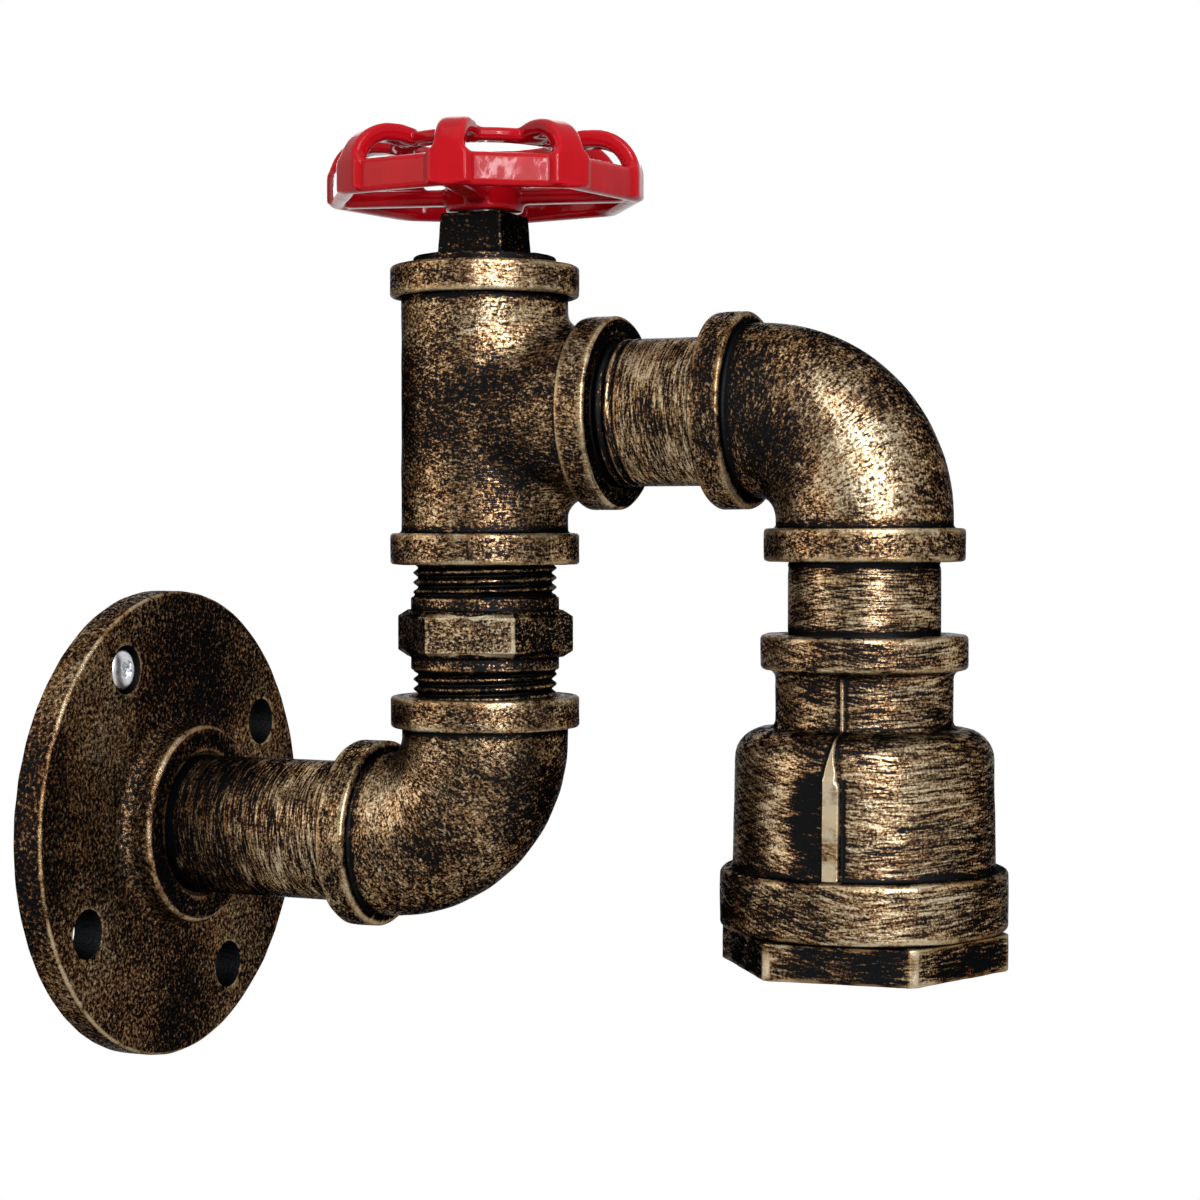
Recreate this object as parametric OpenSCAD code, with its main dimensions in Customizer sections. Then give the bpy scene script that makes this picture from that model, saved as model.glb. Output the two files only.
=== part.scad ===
// Wall light built from threaded pipe fittings, with a handwheel that works its rotary switch.
// Origin: centre of the flange's wall face. +X leaves the wall, +Z is up.

/* [Layout] */
// Distance from the wall to the axis of the upright run
run_x = 74; // [68:0.5:90]
// Distance from the upright run to the axis of the lamp drop
arm_reach = 74.4; // [70:0.1:100]
// Height of the arm's axis above the flange's axis
arm_z = 79.4; // [78:0.1:100]
// Pipe that shows between the upper elbow and the bell reducer
drop_gap = 12.7; // [6:0.1:30]

/* [Pipes and threads] */
// Outside diameter of the pipe
pipe_od = 26.9; // [26.1:0.1:27.9]
// Wall of the pipe
pipe_wall = 2.6; // [2.2:0.1:3.2]
// Length of thread that a fitting's socket takes in
thread_engage = 12.5; // [10:0.5:13]
// Radial clearance between the two halves of a made-up thread
thread_gap = 0.05; // [0.02:0.01:0.1]
// Plain run-out past the end of a thread inside a socket
thread_runout = 0.5; // [0.3:0.1:1.5]
// Chamfer at the mouth of each socket and bored end
mouth_chamfer = 0.9; // [0.4:0.1:1.2]

/* [Elbows and tee] */
// Wall of a cast fitting around its threaded socket
fitting_wall = 2.2; // [1.9:0.1:3]
// Height of the band round a fitting's mouth above its body
band_rise = 2.1; // [1:0.1:3]
// Width of the band round a fitting's mouth
band_w = 6; // [4:0.1:7]
// Rounding of a band's edges
band_edge = 0.8; // [0.4:0.1:1.2]
// Centre of an elbow to each of its faces
elbow_reach = 27; // [26:0.1:30]
// Radius of an elbow's bend along its centreline
elbow_bend = 19.5; // [18.5:0.5:22]
// Centre of the tee to each of its faces
tee_reach = 27.9; // [27:0.1:32]
// Radius of the tee's inner corners between run and branch
tee_corner = 5; // [3:0.1:8]
// Step from the pipe's bore out to the passage inside a fitting
passage_step = 0.2; // [0:0.1:0.6]

/* [Hex nipple] */
// Height of the nipple's hexagon
hex_h = 8.8; // [6:0.1:12]
// Thread that shows below the hexagon
hex_lift = 7.3; // [3:0.1:12]
// Height of the hexagon's flats above the thread
hex_rise = 1.05; // [0.8:0.05:3]
// Height of the slope at each end of the hexagon
hex_bevel = 1.2; // [0.5:0.1:2]
// How far that slope leans in at the corners
hex_slant = 1.9; // [0.5:0.1:2.2]
// Height of the plain collar at each end of the hexagon
collar_h = 2.4; // [1:0.1:2.9]
// Height of that collar's wall above the thread
collar_rise = 0.45; // [0.2:0.05:0.7]
// Turn of the hexagon about the upright run
hex_turn = 15; // [0:1:60]

/* [Wall flange] */
// Diameter of the flange
flange_od = 92; // [84:0.5:110]
// Thickness of the flange's plate
flange_t = 6.2; // [4:0.1:8]
// Rounding of the plate's front edge
flange_edge = 1.2; // [0.4:0.1:2]
// Wall of the hub round its threaded bore
hub_wall = 6; // [4:0.1:8]
// Height of the hub above the plate
hub_rise = 6; // [4:0.1:12]
// Radius of the cast corner between plate and hub
hub_fillet = 2; // [0.5:0.1:3]
// Length of thread that the hub takes in
hub_engage = 9.5; // [7:0.1:9.9]
// Diameter of a fixing hole
hole_d = 9; // [6:0.1:11]
// Diameter of the circle that the fixing holes lie on
hole_pcd = 72; // [68:0.5:74]
// Number of fixing holes
hole_count = 4; // [3:1:6]
// Turn of the first fixing hole from level
hole_turn = 30; // [0:1:90]

/* [Top plug] */
// Shoulder of the plug that shows above the tee
plug_rise = 1.7; // [0.8:0.1:4]
// Side of the plug's square head at its foot
plug_square = 13.5; // [13:0.1:15]
// Draw of each side of the head over its height
plug_draw = 0.5; // [0:0.05:0.6]
// Height of the plug's square head
plug_head_h = 8; // [6:0.1:14]
// Thickness of the plug's lid below the tee's top face
plug_lid = 3; // [2:0.1:4]
// Wall of the plug's threaded skirt
plug_wall = 3.2; // [2.6:0.1:3.3]

/* [Handwheel] */
// Diameter over the wheel's ribs
wheel_od = 59.6; // [54:0.2:70]
// Height of the wheel from the foot of its hub to the top of its ribs
wheel_h = 14.7; // [13:0.1:20]
// Number of arched ribs
rib_count = 8; // [6:1:10]
// Turn of the first rib
rib_turn = 13.3; // [0:0.1:45]
// Width of a rib
rib_w = 5.4; // [4:0.1:7]
// Thickness of a rib across its arch
rib_t = 3; // [2.4:0.1:4]
// Outer radius of a rib's rounded shoulder
rib_shoulder = 8.5; // [6:0.1:9]
// Distance across the flats of the skirt
skirt_flats = 56; // [53:0.1:58.4]
// Height of the skirt
skirt_h = 6.1; // [3:0.1:7]
// Lift of the skirt above the foot of the hub
skirt_lift = 1.4; // [0.5:0.1:3]
// Wall of the skirt
skirt_wall = 2.9; // [2:0.1:4]
// Diameter of the ring that joins the ribs at the top
ring_od = 35; // [30:0.5:38]
// Width of the top ring
ring_w = 4.5; // [3:0.1:6]
// Thickness of the top ring
ring_t = 2.4; // [1.6:0.1:3]
// Drop of the top ring below the top of the ribs
ring_drop = 1.2; // [0.4:0.1:2]
// Diameter of the hub
wheel_hub_d = 14.6; // [12.4:0.1:18]
// Height of the hub
wheel_hub_h = 5.2; // [4.6:0.1:7]
// Number of spokes between hub and skirt
spoke_count = 4; // [3:1:8]
// Width of a spoke
spoke_w = 4.2; // [3:0.1:6]
// Thickness of a spoke
spoke_t = 3; // [2:0.1:3.2]
// Running gap between the plug's head and the hub
wheel_gap = 0.3; // [0.2:0.05:1]

/* [Spindle and its nut] */
// Diameter of the switch spindle
spindle_d = 6; // [5.6:0.1:6.6]
// Running clearance of the spindle in its neck
spindle_gap = 0.05; // [0.02:0.01:0.1]
// Side of the spindle's square end
spindle_square = 4.4; // [4.2:0.1:4.8]
// Clearance of the square end in the hub
square_gap = 0.05; // [0.02:0.01:0.1]
// Diameter of the spindle's threaded tip
tip_d = 3.9; // [3:0.1:4]
// Length of the tip above the nut
tip_over = 0.6; // [0.2:0.1:1]
// Distance across the nut's flats
nut_af = 7; // [6:0.1:8]
// Height of the nut
nut_h = 3.2; // [2.4:0.1:3.6]
// Outside diameter of the washer
washer_od = 9; // [8:0.1:12]
// Thickness of the washer
washer_t = 0.8; // [0.5:0.1:1]

/* [Switch] */
// Gap between the switch body and the plug's skirt
switch_gap = 0.4; // [0.2:0.05:0.8]
// Height of the switch's cup
switch_h = 15; // [12:0.1:16]
// Wall of the switch's cup
switch_wall = 1.5; // [1:0.1:2]
// Thickness of the cup's top
switch_top = 2.2; // [1.5:0.1:3]
// Outside diameter of the switch's threaded neck
neck_d = 9.8; // [9:0.1:10.2]
// Recess of the neck below the top of the plug's head
neck_recess = 0.4; // [0.2:0.1:1]
// Thickness of the switch's base
base_t = 2.5; // [2:0.1:4]
// Diameter of the rotor
rotor_d = 13.6; // [11:0.1:14]
// Height of the rotor
rotor_h = 4; // [3:0.1:5]
// Lift of the rotor above the contact heads
rotor_lift = 0.6; // [0.4:0.1:1]
// Diameter of a switch terminal's post
post_d = 4; // [3:0.1:4.4]
// Length of a switch terminal's post below the base
post_h = 2.4; // [1.5:0.1:2.6]
// Diameter of a switch terminal's stud through the base
stud_d = 2.4; // [1.6:0.1:2.8]
// Height of a contact head inside the cup
head_h = 0.9; // [0.5:0.1:1.4]
// Distance of a terminal from the upright run, along the arm
post_reach = 4.5; // [3:0.1:5]

/* [Bell reducer] */
// Height of the reducer
bell_h = 51.5; // [49:0.1:58]
// Width of the band at its small end
bell_top_w = 6.3; // [4:0.1:8]
// Rise of the band at its small end
bell_top_rise = 2.6; // [1:0.1:3.5]
// Length of the neck below that band
bell_neck_h = 10.2; // [7:0.1:12]
// Rounding of the shoulder
bell_shoulder = 6.5; // [5:0.1:7]
// Wall of the bell round its large thread
bell_wall = 2.2; // [1.6:0.1:3]
// Width of the band at its large end
bell_low_w = 10.5; // [8:0.1:14]
// Rise of the band at its large end
bell_low_rise = 2.2; // [1.4:0.05:4]
// Rounding of that band's edges
bell_low_edge = 1.2; // [0.6:0.1:1.4]
// Draw of the bell's wall over its height
bell_draw = 0.5; // [0:0.05:0.8]
// Step inside the bell that the lampholder's flange seats under
bell_step = 1; // [0.6:0.1:1.6]
// Radius of the cast corners at the ends of the neck
bell_fillet = 1.4; // [0.5:0.1:2]
// Width of the cast rib on each side of the bell
bell_rib_w = 3.1; // [2:0.1:5]
// Height of the cast rib above the bell
bell_rib_rise = 1.1; // [0.4:0.1:1.6]
// Turn of the cast ribs about the drop
bell_rib_turn = -86; // [-180:1:180]

/* [Lamp ring] */
// Height of the ring's hexagon
ring_hex_h = 6.5; // [5:0.1:10]
// Gap between the hexagon and the reducer
ring_standoff = 0.4; // [0.2:0.1:1.5]
// Height of the hexagon's flats above the ring's thread
ring_hex_rise = 1.5; // [1:0.05:5]
// Turn of the hexagon about the drop
ring_turn = 7; // [0:1:60]
// Wall of the ring
ring_wall = 2.45; // [1.8:0.05:3]
// Length of thread that the reducer takes in
ring_engage = 12; // [9:0.1:13]

/* [Lampholder] */
// Bore of the threaded shell
shell_bore = 26.5; // [26.2:0.1:27.4]
// Wall of the shell
shell_wall = 0.4; // [0.3:0.05:0.8]
// Length of the shell
shell_l = 21; // [18:0.1:22]
// Clearance of the shell in the holder
shell_gap = 0.05; // [0.02:0.01:0.1]
// Recess of the shell inside the holder's mouth
shell_recess = 0.6; // [0.3:0.1:2]
// Wall of the porcelain holder
holder_wall = 4.5; // [3.6:0.1:5]
// Clearance of the holder in the ring
holder_gap = 0.3; // [0.1:0.05:0.5]
// Recess of the holder inside the ring
holder_recess = 1; // [0.4:0.1:2]
// Thickness of the holder's flange
holder_flange_t = 2.5; // [1.8:0.1:3.5]
// Clearance of the holder's flange, at its edge and above it
holder_seat_gap = 0.2; // [0.1:0.05:0.4]
// Height of the contact chamber above the shell
chamber_h = 5; // [4.4:0.1:6]
// Diameter of the contact chamber
chamber_d = 22; // [20:0.1:24]
// Thickness of the holder's back
holder_back = 4; // [3:0.1:5]
// Width of the centre contact
contact_w = 5; // [3:0.1:7]
// Thickness of the centre contact
contact_t = 0.5; // [0.4:0.05:0.8]
// Drop of the contact's tip below its root
contact_drop = 2.6; // [1.6:0.1:3]
// Distance of the contact's root from the drop axis
contact_reach = 7; // [6:0.1:8]
// Gap between the contact's root and its terminal
contact_gap = 0.4; // [0.3:0.05:0.6]
// Diameter of a lampholder terminal's stem
stem_d = 2.6; // [2:0.1:3]
// Height of a lampholder terminal's block
block_h = 5; // [4:0.1:6]
// Width of a lampholder terminal's block
block_w = 5; // [4:0.1:6]
// Diameter of a terminal screw
clamp_d = 2.5; // [2:0.1:3]
// Length that a terminal screw's head stands out
clamp_head = 1.4; // [1:0.1:2]
// Diameter of the pin that ties the outer terminal to the shell
tie_d = 2; // [1.2:0.1:2.4]

/* [Leads] */
// Diameter of an insulated lead
lead_d = 2.4; // [1.8:0.1:2.8]
// Distance of a lead to each side of the pipe's axis
lead_side = 4.5; // [3.5:0.1:5]
// Recess of the leads' ends behind the wall face
lead_recess = 1; // [0.5:0.1:2]

/* [Hidden] */
$fn = 96;

// Steps along a rounded edge, and along a large rounded shoulder
edge_steps = 4;
shoulder_steps = 10;
// Overrun of a cutting shape past the face that it cuts
over = 1;
// Number of cast ribs on the bell, and of sides on a hexagon
bell_ribs = 2;
hex_sides = 6;
// Depth of a hexagon's corner chamfer for each millimetre that it takes off the corner
hex_slope = 0.58;
// Inset of the tee's corner sweeps inside its body
sweep_inset = 0.25;
// Bend radii of the leads in the lower elbow, and of the neutral lead in the tee
live_bend = 16;
neutral_bend = 20;
branch_bend = 12;

drop_x = run_x + arm_reach;

// Threads, sockets and cast bodies
pipe_r = pipe_od / 2;
bore_r = pipe_r - pipe_wall;
socket_r = pipe_r + thread_gap;
socket_depth = thread_engage + thread_runout;
passage_r = bore_r + passage_step;
body_r = socket_r + fitting_wall;
band_r = body_r + band_rise;

// Faces along the upright run
elbow_top = elbow_reach;
tee_foot = arm_z - tee_reach;
tee_top = arm_z + tee_reach;
hex_z = elbow_top + hex_lift;
hex_r = (pipe_r + hex_rise) / cos(180 / hex_sides);

// Flange hub
hub_r = socket_r + hub_wall;
hub_face = flange_t + hub_rise;

// Plug, switch and wheel, from the tee's top face up
plug_foot = tee_top - thread_engage;
plug_ceiling = tee_top - plug_lid;
plug_shoulder = tee_top + plug_rise;
plug_top = plug_shoulder + plug_head_h;
plug_bore_r = pipe_r - plug_wall;
neck_r = neck_d / 2;
switch_r = plug_bore_r - switch_gap;
switch_foot = plug_ceiling - switch_h;
base_foot = switch_foot - base_t;
post_foot = base_foot - post_h;
rotor_z = switch_foot + head_h + rotor_lift;
spindle_r = spindle_d / 2;
wheel_z = plug_top + wheel_gap;
hub_top = wheel_z + wheel_hub_h;
washer_top = hub_top + washer_t;
nut_top = washer_top + nut_h;
wheel_r = wheel_od / 2;
ring_r = ring_od / 2;

// Straight stretch of the switched lead under its terminal, and the bend from there into the arm
lead_straight = 1;
switch_bend = post_foot - arm_z - lead_straight;

// Lampholder, ring and bell, from the lamp's thread outwards
shell_r = shell_bore / 2 + shell_wall;
holder_bore_r = shell_r + shell_gap;
holder_r = holder_bore_r + holder_wall;
ring_bore_r = holder_r + holder_gap;
ring_thread_r = ring_bore_r + ring_wall;
bell_socket_r = ring_thread_r + thread_gap;
bell_r = bell_socket_r + bell_wall;
bell_low_r = bell_r + bell_low_rise;
bell_top_r = body_r + bell_top_rise;
ring_hex_r = (ring_thread_r + ring_hex_rise) / cos(180 / hex_sides);
flange_r = bell_socket_r - holder_seat_gap;

// Heights along the drop
elbow_foot = arm_z - elbow_reach;
bell_top = elbow_foot - drop_gap;
bell_foot = bell_top - bell_h;
ring_hex_top = bell_foot - ring_standoff;
ring_foot = ring_hex_top - ring_hex_h;
ring_top = bell_foot + ring_engage;
seat_z = ring_top + holder_flange_t + holder_seat_gap;
holder_foot = ring_foot + holder_recess;
shell_foot = holder_foot + shell_recess;
shell_top = shell_foot + shell_l;
chamber_top = shell_top + chamber_h;
holder_top = chamber_top + holder_back;
block_top = holder_top + block_h;
contact_z = chamber_top - contact_gap;

// Points of an arc about c, from angle a0 to angle a1
function arc(c, r, a0, a1, steps) =
    [for (i = [0 : steps]) c + r * [cos(a0 + (a1 - a0) * i / steps), sin(a0 + (a1 - a0) * i / steps)]];

// Turns what stands along Z so that it runs along X
module along_x() {
    rotate([0, 90, 0]) children();
}

// Moves to the upright run, or to the lamp drop, at the height given
module at_run(z) {
    translate([run_x, 0, z]) children();
}

module at_drop(z) {
    translate([drop_x, 0, z]) children();
}

// Quarter turn of round bar from the +X leg to the +Z leg, with the corner at the origin
module bend(radius, bar_r) {
    translate([radius, 0, radius])
        rotate([90, 0, 0])
            rotate([0, 0, 180])
                rotate_extrude(angle = 90)
                    translate([radius, 0]) circle(r = bar_r);
}

// Straight round bar along Z between two heights
module bar(r, from, to) {
    translate([0, 0, from]) cylinder(r = r, h = to - from);
}

// Solid collar with rounded edges
module collar(r, h, edge) {
    rotate_extrude()
        polygon(concat(
            [[0, 0]],
            arc([r - edge, edge], edge, -90, 0, edge_steps),
            arc([r - edge, h - edge], edge, 0, 90, edge_steps),
            [[0, h]]));
}

// Band round a mouth whose face lies at the height given
module mouth_band(face) {
    translate([0, 0, face - band_w]) collar(band_r, band_w, band_edge);
}

// Threaded socket cut into a face at the height given, with its chamfered mouth
module socket_cut(r, depth, face) {
    bar(r, face - depth, face + over);
    translate([0, 0, face - mouth_chamfer])
        cylinder(r1 = r, r2 = r + mouth_chamfer + over, h = mouth_chamfer + over);
}

// Plain pipe that stands along Z
module pipe(length) {
    difference() {
        bar(pipe_r, 0, length);
        bar(bore_r, -over, length + over);
    }
}

// Hexagon standing on z = 0 with its corners turned down to a cone at both ends
module hex_body(across_r, flat_r, h) {
    fall = (across_r - flat_r) * hex_slope;
    intersection() {
        cylinder(r = across_r, h = h, $fn = hex_sides);
        rotate_extrude()
            polygon([[0, 0], [flat_r, 0], [across_r, fall], [across_r, h - fall], [flat_r, h], [0, h]]);
    }
}

// Hexagon standing on z = 0 with a slope on all six sides at both ends
module cast_hex(across_r, h) {
    end_r = across_r - hex_slant;
    cylinder(r1 = end_r, r2 = across_r, h = hex_bevel, $fn = hex_sides);
    translate([0, 0, hex_bevel]) cylinder(r = across_r, h = h - 2 * hex_bevel, $fn = hex_sides);
    translate([0, 0, h - hex_bevel]) cylinder(r1 = across_r, r2 = end_r, h = hex_bevel, $fn = hex_sides);
}

// Cast elbow with its legs along +X and +Z
module elbow() {
    difference() {
        union() {
            bend(elbow_bend, body_r);
            elbow_leg();
            along_x() elbow_leg();
        }
        bend(elbow_bend, passage_r);
        elbow_bore();
        along_x() elbow_bore();
    }
}

module elbow_leg() {
    bar(body_r, elbow_bend, elbow_reach - band_edge);
    mouth_band(elbow_reach);
}

module elbow_bore() {
    bar(passage_r, elbow_bend, elbow_reach + over);
    socket_cut(socket_r, socket_depth, elbow_reach);
}

module wall_flange() {
    color([0.20, 0.15, 0.10])
        difference() {
            along_x() flange_blank();
            along_x() bar(socket_r, -over, hub_face + over);
            along_x() socket_cut(socket_r, hub_engage, hub_face);
            for (i = [0 : hole_count - 1])
                rotate([hole_turn + i * 360 / hole_count, 0, 0])
                    translate([0, hole_pcd / 2, 0])
                        along_x() bar(hole_d / 2, -over, flange_t + over);
        }
}

// Plate and hub turned about Z, with the cast corner between them
module flange_blank() {
    plate_r = flange_od / 2;
    rotate_extrude()
        polygon(concat(
            [[0, 0], [plate_r, 0]],
            arc([plate_r - flange_edge, flange_t - flange_edge], flange_edge, 0, 90, edge_steps),
            arc([hub_r + hub_fillet, flange_t + hub_fillet], hub_fillet, 270, 180, edge_steps),
            arc([hub_r - band_edge, hub_face - band_edge], band_edge, 0, 90, edge_steps),
            [[0, hub_face]]));
}

module wall_nipple() {
    from = hub_face - hub_engage;
    to = run_x - elbow_reach + thread_engage;
    color([0.30, 0.22, 0.13])
        translate([from, 0, 0]) along_x() pipe(to - from);
}

module lower_elbow() {
    color([0.33, 0.25, 0.15])
        at_run(0) rotate([0, 0, 180]) elbow();
}

module hex_nipple() {
    from = elbow_top - thread_engage;
    to = tee_foot + thread_engage;
    color([0.36, 0.27, 0.16])
        at_run(0)
            difference() {
                union() {
                    bar(pipe_r, from, to);
                    bar(pipe_r + collar_rise, hex_z - collar_h, hex_z + hex_h + collar_h);
                    translate([0, 0, hex_z]) rotate([0, 0, hex_turn]) cast_hex(hex_r, hex_h);
                }
                bar(bore_r, from - over, to + over);
            }
}

module tee() {
    color([0.33, 0.25, 0.15])
        at_run(arm_z)
            difference() {
                union() {
                    bar(body_r, band_edge - tee_reach, tee_reach - band_edge);
                    along_x() bar(body_r, 0, tee_reach - band_edge);
                    tee_sweep();
                    mirror([0, 0, 1]) tee_sweep();
                    mouth_band(tee_reach);
                    mirror([0, 0, 1]) mouth_band(tee_reach);
                    along_x() mouth_band(tee_reach);
                }
                bar(passage_r, -tee_reach - over, tee_reach + over);
                along_x() bar(passage_r, 0, tee_reach + over);
                socket_cut(socket_r, socket_depth, tee_reach);
                mirror([0, 0, 1]) socket_cut(socket_r, socket_depth, tee_reach);
                along_x() socket_cut(socket_r, socket_depth, tee_reach);
            }
}

// Sweep that rounds one inner corner of the tee
module tee_sweep() {
    bend(body_r + tee_corner, body_r - sweep_inset);
}

module arm_nipple() {
    from = run_x + tee_reach - thread_engage;
    to = drop_x - elbow_reach + thread_engage;
    color([0.30, 0.22, 0.13])
        translate([from, 0, arm_z]) along_x() pipe(to - from);
}

module upper_elbow() {
    color([0.33, 0.25, 0.15])
        at_drop(arm_z) rotate([0, 180, 0]) elbow();
}

module drop_nipple() {
    from = bell_top - thread_engage;
    to = elbow_foot + thread_engage;
    color([0.30, 0.22, 0.13])
        at_drop(from) pipe(to - from);
}

module bell_reducer() {
    neck_top = bell_h - bell_top_w;
    neck_foot = neck_top - bell_neck_h;
    shoulder_z = neck_foot - bell_shoulder;
    hollow_r = bell_socket_r - bell_step;
    hollow_top = shoulder_z;
    funnel_top = neck_foot + fitting_wall;
    color([0.36, 0.27, 0.16])
        at_drop(bell_foot)
            difference() {
                union() {
                    rotate_extrude()
                        polygon(concat(
                            [[0, 0]],
                            arc([bell_low_r - band_edge, band_edge], band_edge, -90, 0, edge_steps),
                            arc([bell_low_r - bell_low_edge, bell_low_w - bell_low_edge], bell_low_edge,
                                0, 90, edge_steps),
                            [[bell_r, bell_low_w]],
                            arc([bell_r - bell_draw - bell_shoulder, shoulder_z], bell_shoulder,
                                0, 90, shoulder_steps),
                            arc([body_r + bell_fillet, neck_foot + bell_fillet], bell_fillet,
                                270, 180, edge_steps),
                            arc([body_r + bell_fillet, neck_top - bell_fillet], bell_fillet,
                                180, 90, edge_steps),
                            arc([bell_top_r - band_edge, neck_top + band_edge], band_edge, -90, 0, edge_steps),
                            arc([bell_top_r - band_edge, bell_h - band_edge], band_edge, 0, 90, edge_steps),
                            [[0, bell_h]]));
                    for (i = [0 : bell_ribs - 1])
                        rotate([0, 0, bell_rib_turn + i * 360 / bell_ribs]) bell_rib(shoulder_z);
                }
                bar(passage_r, -over, bell_h + over);
                socket_cut(socket_r, socket_depth, bell_h);
                bar(bell_socket_r, -over, seat_z - bell_foot);
                bar(hollow_r, 0, hollow_top);
                translate([0, 0, hollow_top])
                    cylinder(r1 = hollow_r, r2 = passage_r, h = funnel_top - hollow_top);
            }
}

// Cast rib up one side of the bell, with its top sloped into the shoulder
module bell_rib(top) {
    rotate([90, 0, 0])
        linear_extrude(bell_rib_w, center = true)
            polygon([
                [bell_r - bell_rib_rise, bell_low_w - bell_low_edge],
                [bell_r + bell_rib_rise, bell_low_w - bell_low_edge],
                [bell_r + bell_rib_rise, top - bell_rib_rise],
                [bell_r, top + bell_rib_rise],
                [bell_r - bell_rib_rise, top + bell_rib_rise]]);
}

module lamp_ring() {
    color([0.22, 0.17, 0.11])
        at_drop(ring_foot)
            difference() {
                union() {
                    rotate([0, 0, ring_turn]) cylinder(r = ring_hex_r, h = ring_hex_h, $fn = hex_sides);
                    bar(ring_thread_r, 0, ring_top - ring_foot);
                }
                bar(ring_bore_r, -over, ring_top - ring_foot + over);
            }
}

module lampholder_body() {
    color([0.93, 0.92, 0.88])
        at_drop(0)
            difference() {
                union() {
                    bar(holder_r, holder_foot, holder_top);
                    bar(flange_r, ring_top, ring_top + holder_flange_t);
                }
                bar(holder_bore_r, holder_foot - over, shell_top);
                bar(chamber_d / 2, shell_top - over, chamber_top);
                translate([0, -contact_reach, 0]) bar(stem_d / 2 + shell_gap, chamber_top - over, holder_top + over);
                translate([0, shell_r - shell_wall / 2, 0])
                    bar(tie_d / 2 + shell_gap, shell_top - over, holder_top + over);
            }
}

module lampholder_shell() {
    color([0.80, 0.62, 0.30])
        at_drop(shell_foot)
            difference() {
                bar(shell_r, 0, shell_l);
                bar(shell_bore / 2, -over, shell_l + over);
            }
}

// Sprung strip that slopes from its root down to a flat tip under the lamp's centre
module centre_contact() {
    half_tip = contact_w / 2;
    root_out = contact_reach + stem_d / 2;
    color([0.85, 0.66, 0.32])
        at_drop(contact_z)
            rotate([90, 0, -90])
                linear_extrude(contact_w, center = true)
                    polygon([
                        [root_out, 0],
                        [contact_reach - stem_d / 2, 0],
                        [half_tip, -contact_drop],
                        [-half_tip, -contact_drop],
                        [-half_tip, -contact_drop - contact_t],
                        [half_tip, -contact_drop - contact_t],
                        [contact_reach - stem_d / 2, -contact_t],
                        [root_out, -contact_t]]);
}

// Block that clamps a lead, reaching from just inside the lead out to the stem or pin that it feeds
module clamp_block(out) {
    inner = lead_side - lead_d / 2 - thread_runout;
    difference() {
        translate([-block_w / 2, inner, holder_top]) cube([block_w, out - inner, block_h]);
        translate([0, contact_reach, holder_top + block_h / 2])
            along_x() bar(clamp_d / 2 + thread_gap, 0, block_w / 2 + over);
    }
}

module live_terminal() {
    color([0.80, 0.62, 0.30])
        at_drop(0) mirror([0, 1, 0]) {
            clamp_block(contact_reach + block_w / 2);
            translate([0, contact_reach, 0]) bar(stem_d / 2, chamber_top, holder_top);
        }
}

module neutral_terminal() {
    tie_y = shell_r - shell_wall / 2;
    color([0.80, 0.62, 0.30])
        at_drop(0) {
            clamp_block(contact_reach + block_w / 2);
            translate([-tie_d / 2, contact_reach, holder_top])
                cube([tie_d, tie_y + tie_d / 2 - contact_reach, tie_d / 2]);
            translate([0, tie_y, 0]) bar(tie_d / 2, shell_top, holder_top);
        }
}

module terminal_screws() {
    color([0.75, 0.75, 0.72])
        for (side = [-1, 1])
            at_drop(holder_top + block_h / 2)
                translate([0, side * contact_reach, 0])
                    along_x() {
                        bar(clamp_d / 2, 0, block_w / 2 + clamp_head);
                        bar(clamp_d / 2 + clamp_head / 2, block_w / 2, block_w / 2 + clamp_head);
                    }
}

module top_plug() {
    head_top = plug_square - 2 * plug_draw;
    color([0.10, 0.09, 0.08])
        at_run(0)
            difference() {
                union() {
                    bar(pipe_r, plug_foot, plug_shoulder);
                    translate([0, 0, plug_shoulder])
                        plug_head(plug_square / 2, head_top / 2, plug_head_h);
                }
                bar(plug_bore_r, plug_foot - over, plug_ceiling);
                bar(neck_r + thread_gap, plug_ceiling - over, plug_top + over);
            }
}

// Square head with a slight draw, as the crossing of two tapered blocks
module plug_head(foot, head, h) {
    intersection() {
        plug_wedge(foot, head, h);
        rotate([0, 0, 90]) plug_wedge(foot, head, h);
    }
}

module plug_wedge(foot, head, h) {
    rotate([90, 0, 0])
        linear_extrude(2 * foot, center = true)
            polygon([[-foot, 0], [foot, 0], [head, h], [-head, h]]);
}

module switch_body() {
    color([0.15, 0.13, 0.12])
        at_run(0)
            difference() {
                union() {
                    bar(switch_r, switch_foot, plug_ceiling);
                    bar(neck_r, plug_ceiling, plug_top - neck_recess);
                }
                bar(switch_r - switch_wall, switch_foot - over, plug_ceiling - switch_top);
                bar(spindle_r + spindle_gap, plug_ceiling - switch_top - over, plug_top + over);
            }
}

module switch_base() {
    color([0.40, 0.22, 0.12])
        at_run(0)
            difference() {
                bar(switch_r, base_foot, switch_foot);
                at_posts() bar(stud_d / 2 + shell_gap, base_foot - over, switch_foot + over);
            }
}

// The two terminals lie to each side of the run, on the live side
module at_posts() {
    for (side = [-1, 1])
        translate([side * post_reach, -lead_side, 0]) children();
}

module switch_terminals() {
    color([0.80, 0.62, 0.30])
        at_run(0)
            at_posts() {
                bar(post_d / 2, post_foot, base_foot);
                bar(stud_d / 2, base_foot, switch_foot + head_h);
            }
}

module switch_rotor() {
    color([0.70, 0.55, 0.30])
        at_run(rotor_z)
            difference() {
                bar(rotor_d / 2, 0, rotor_h);
                bar(spindle_r + spindle_gap, -over, rotor_h + over);
            }
}

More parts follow.
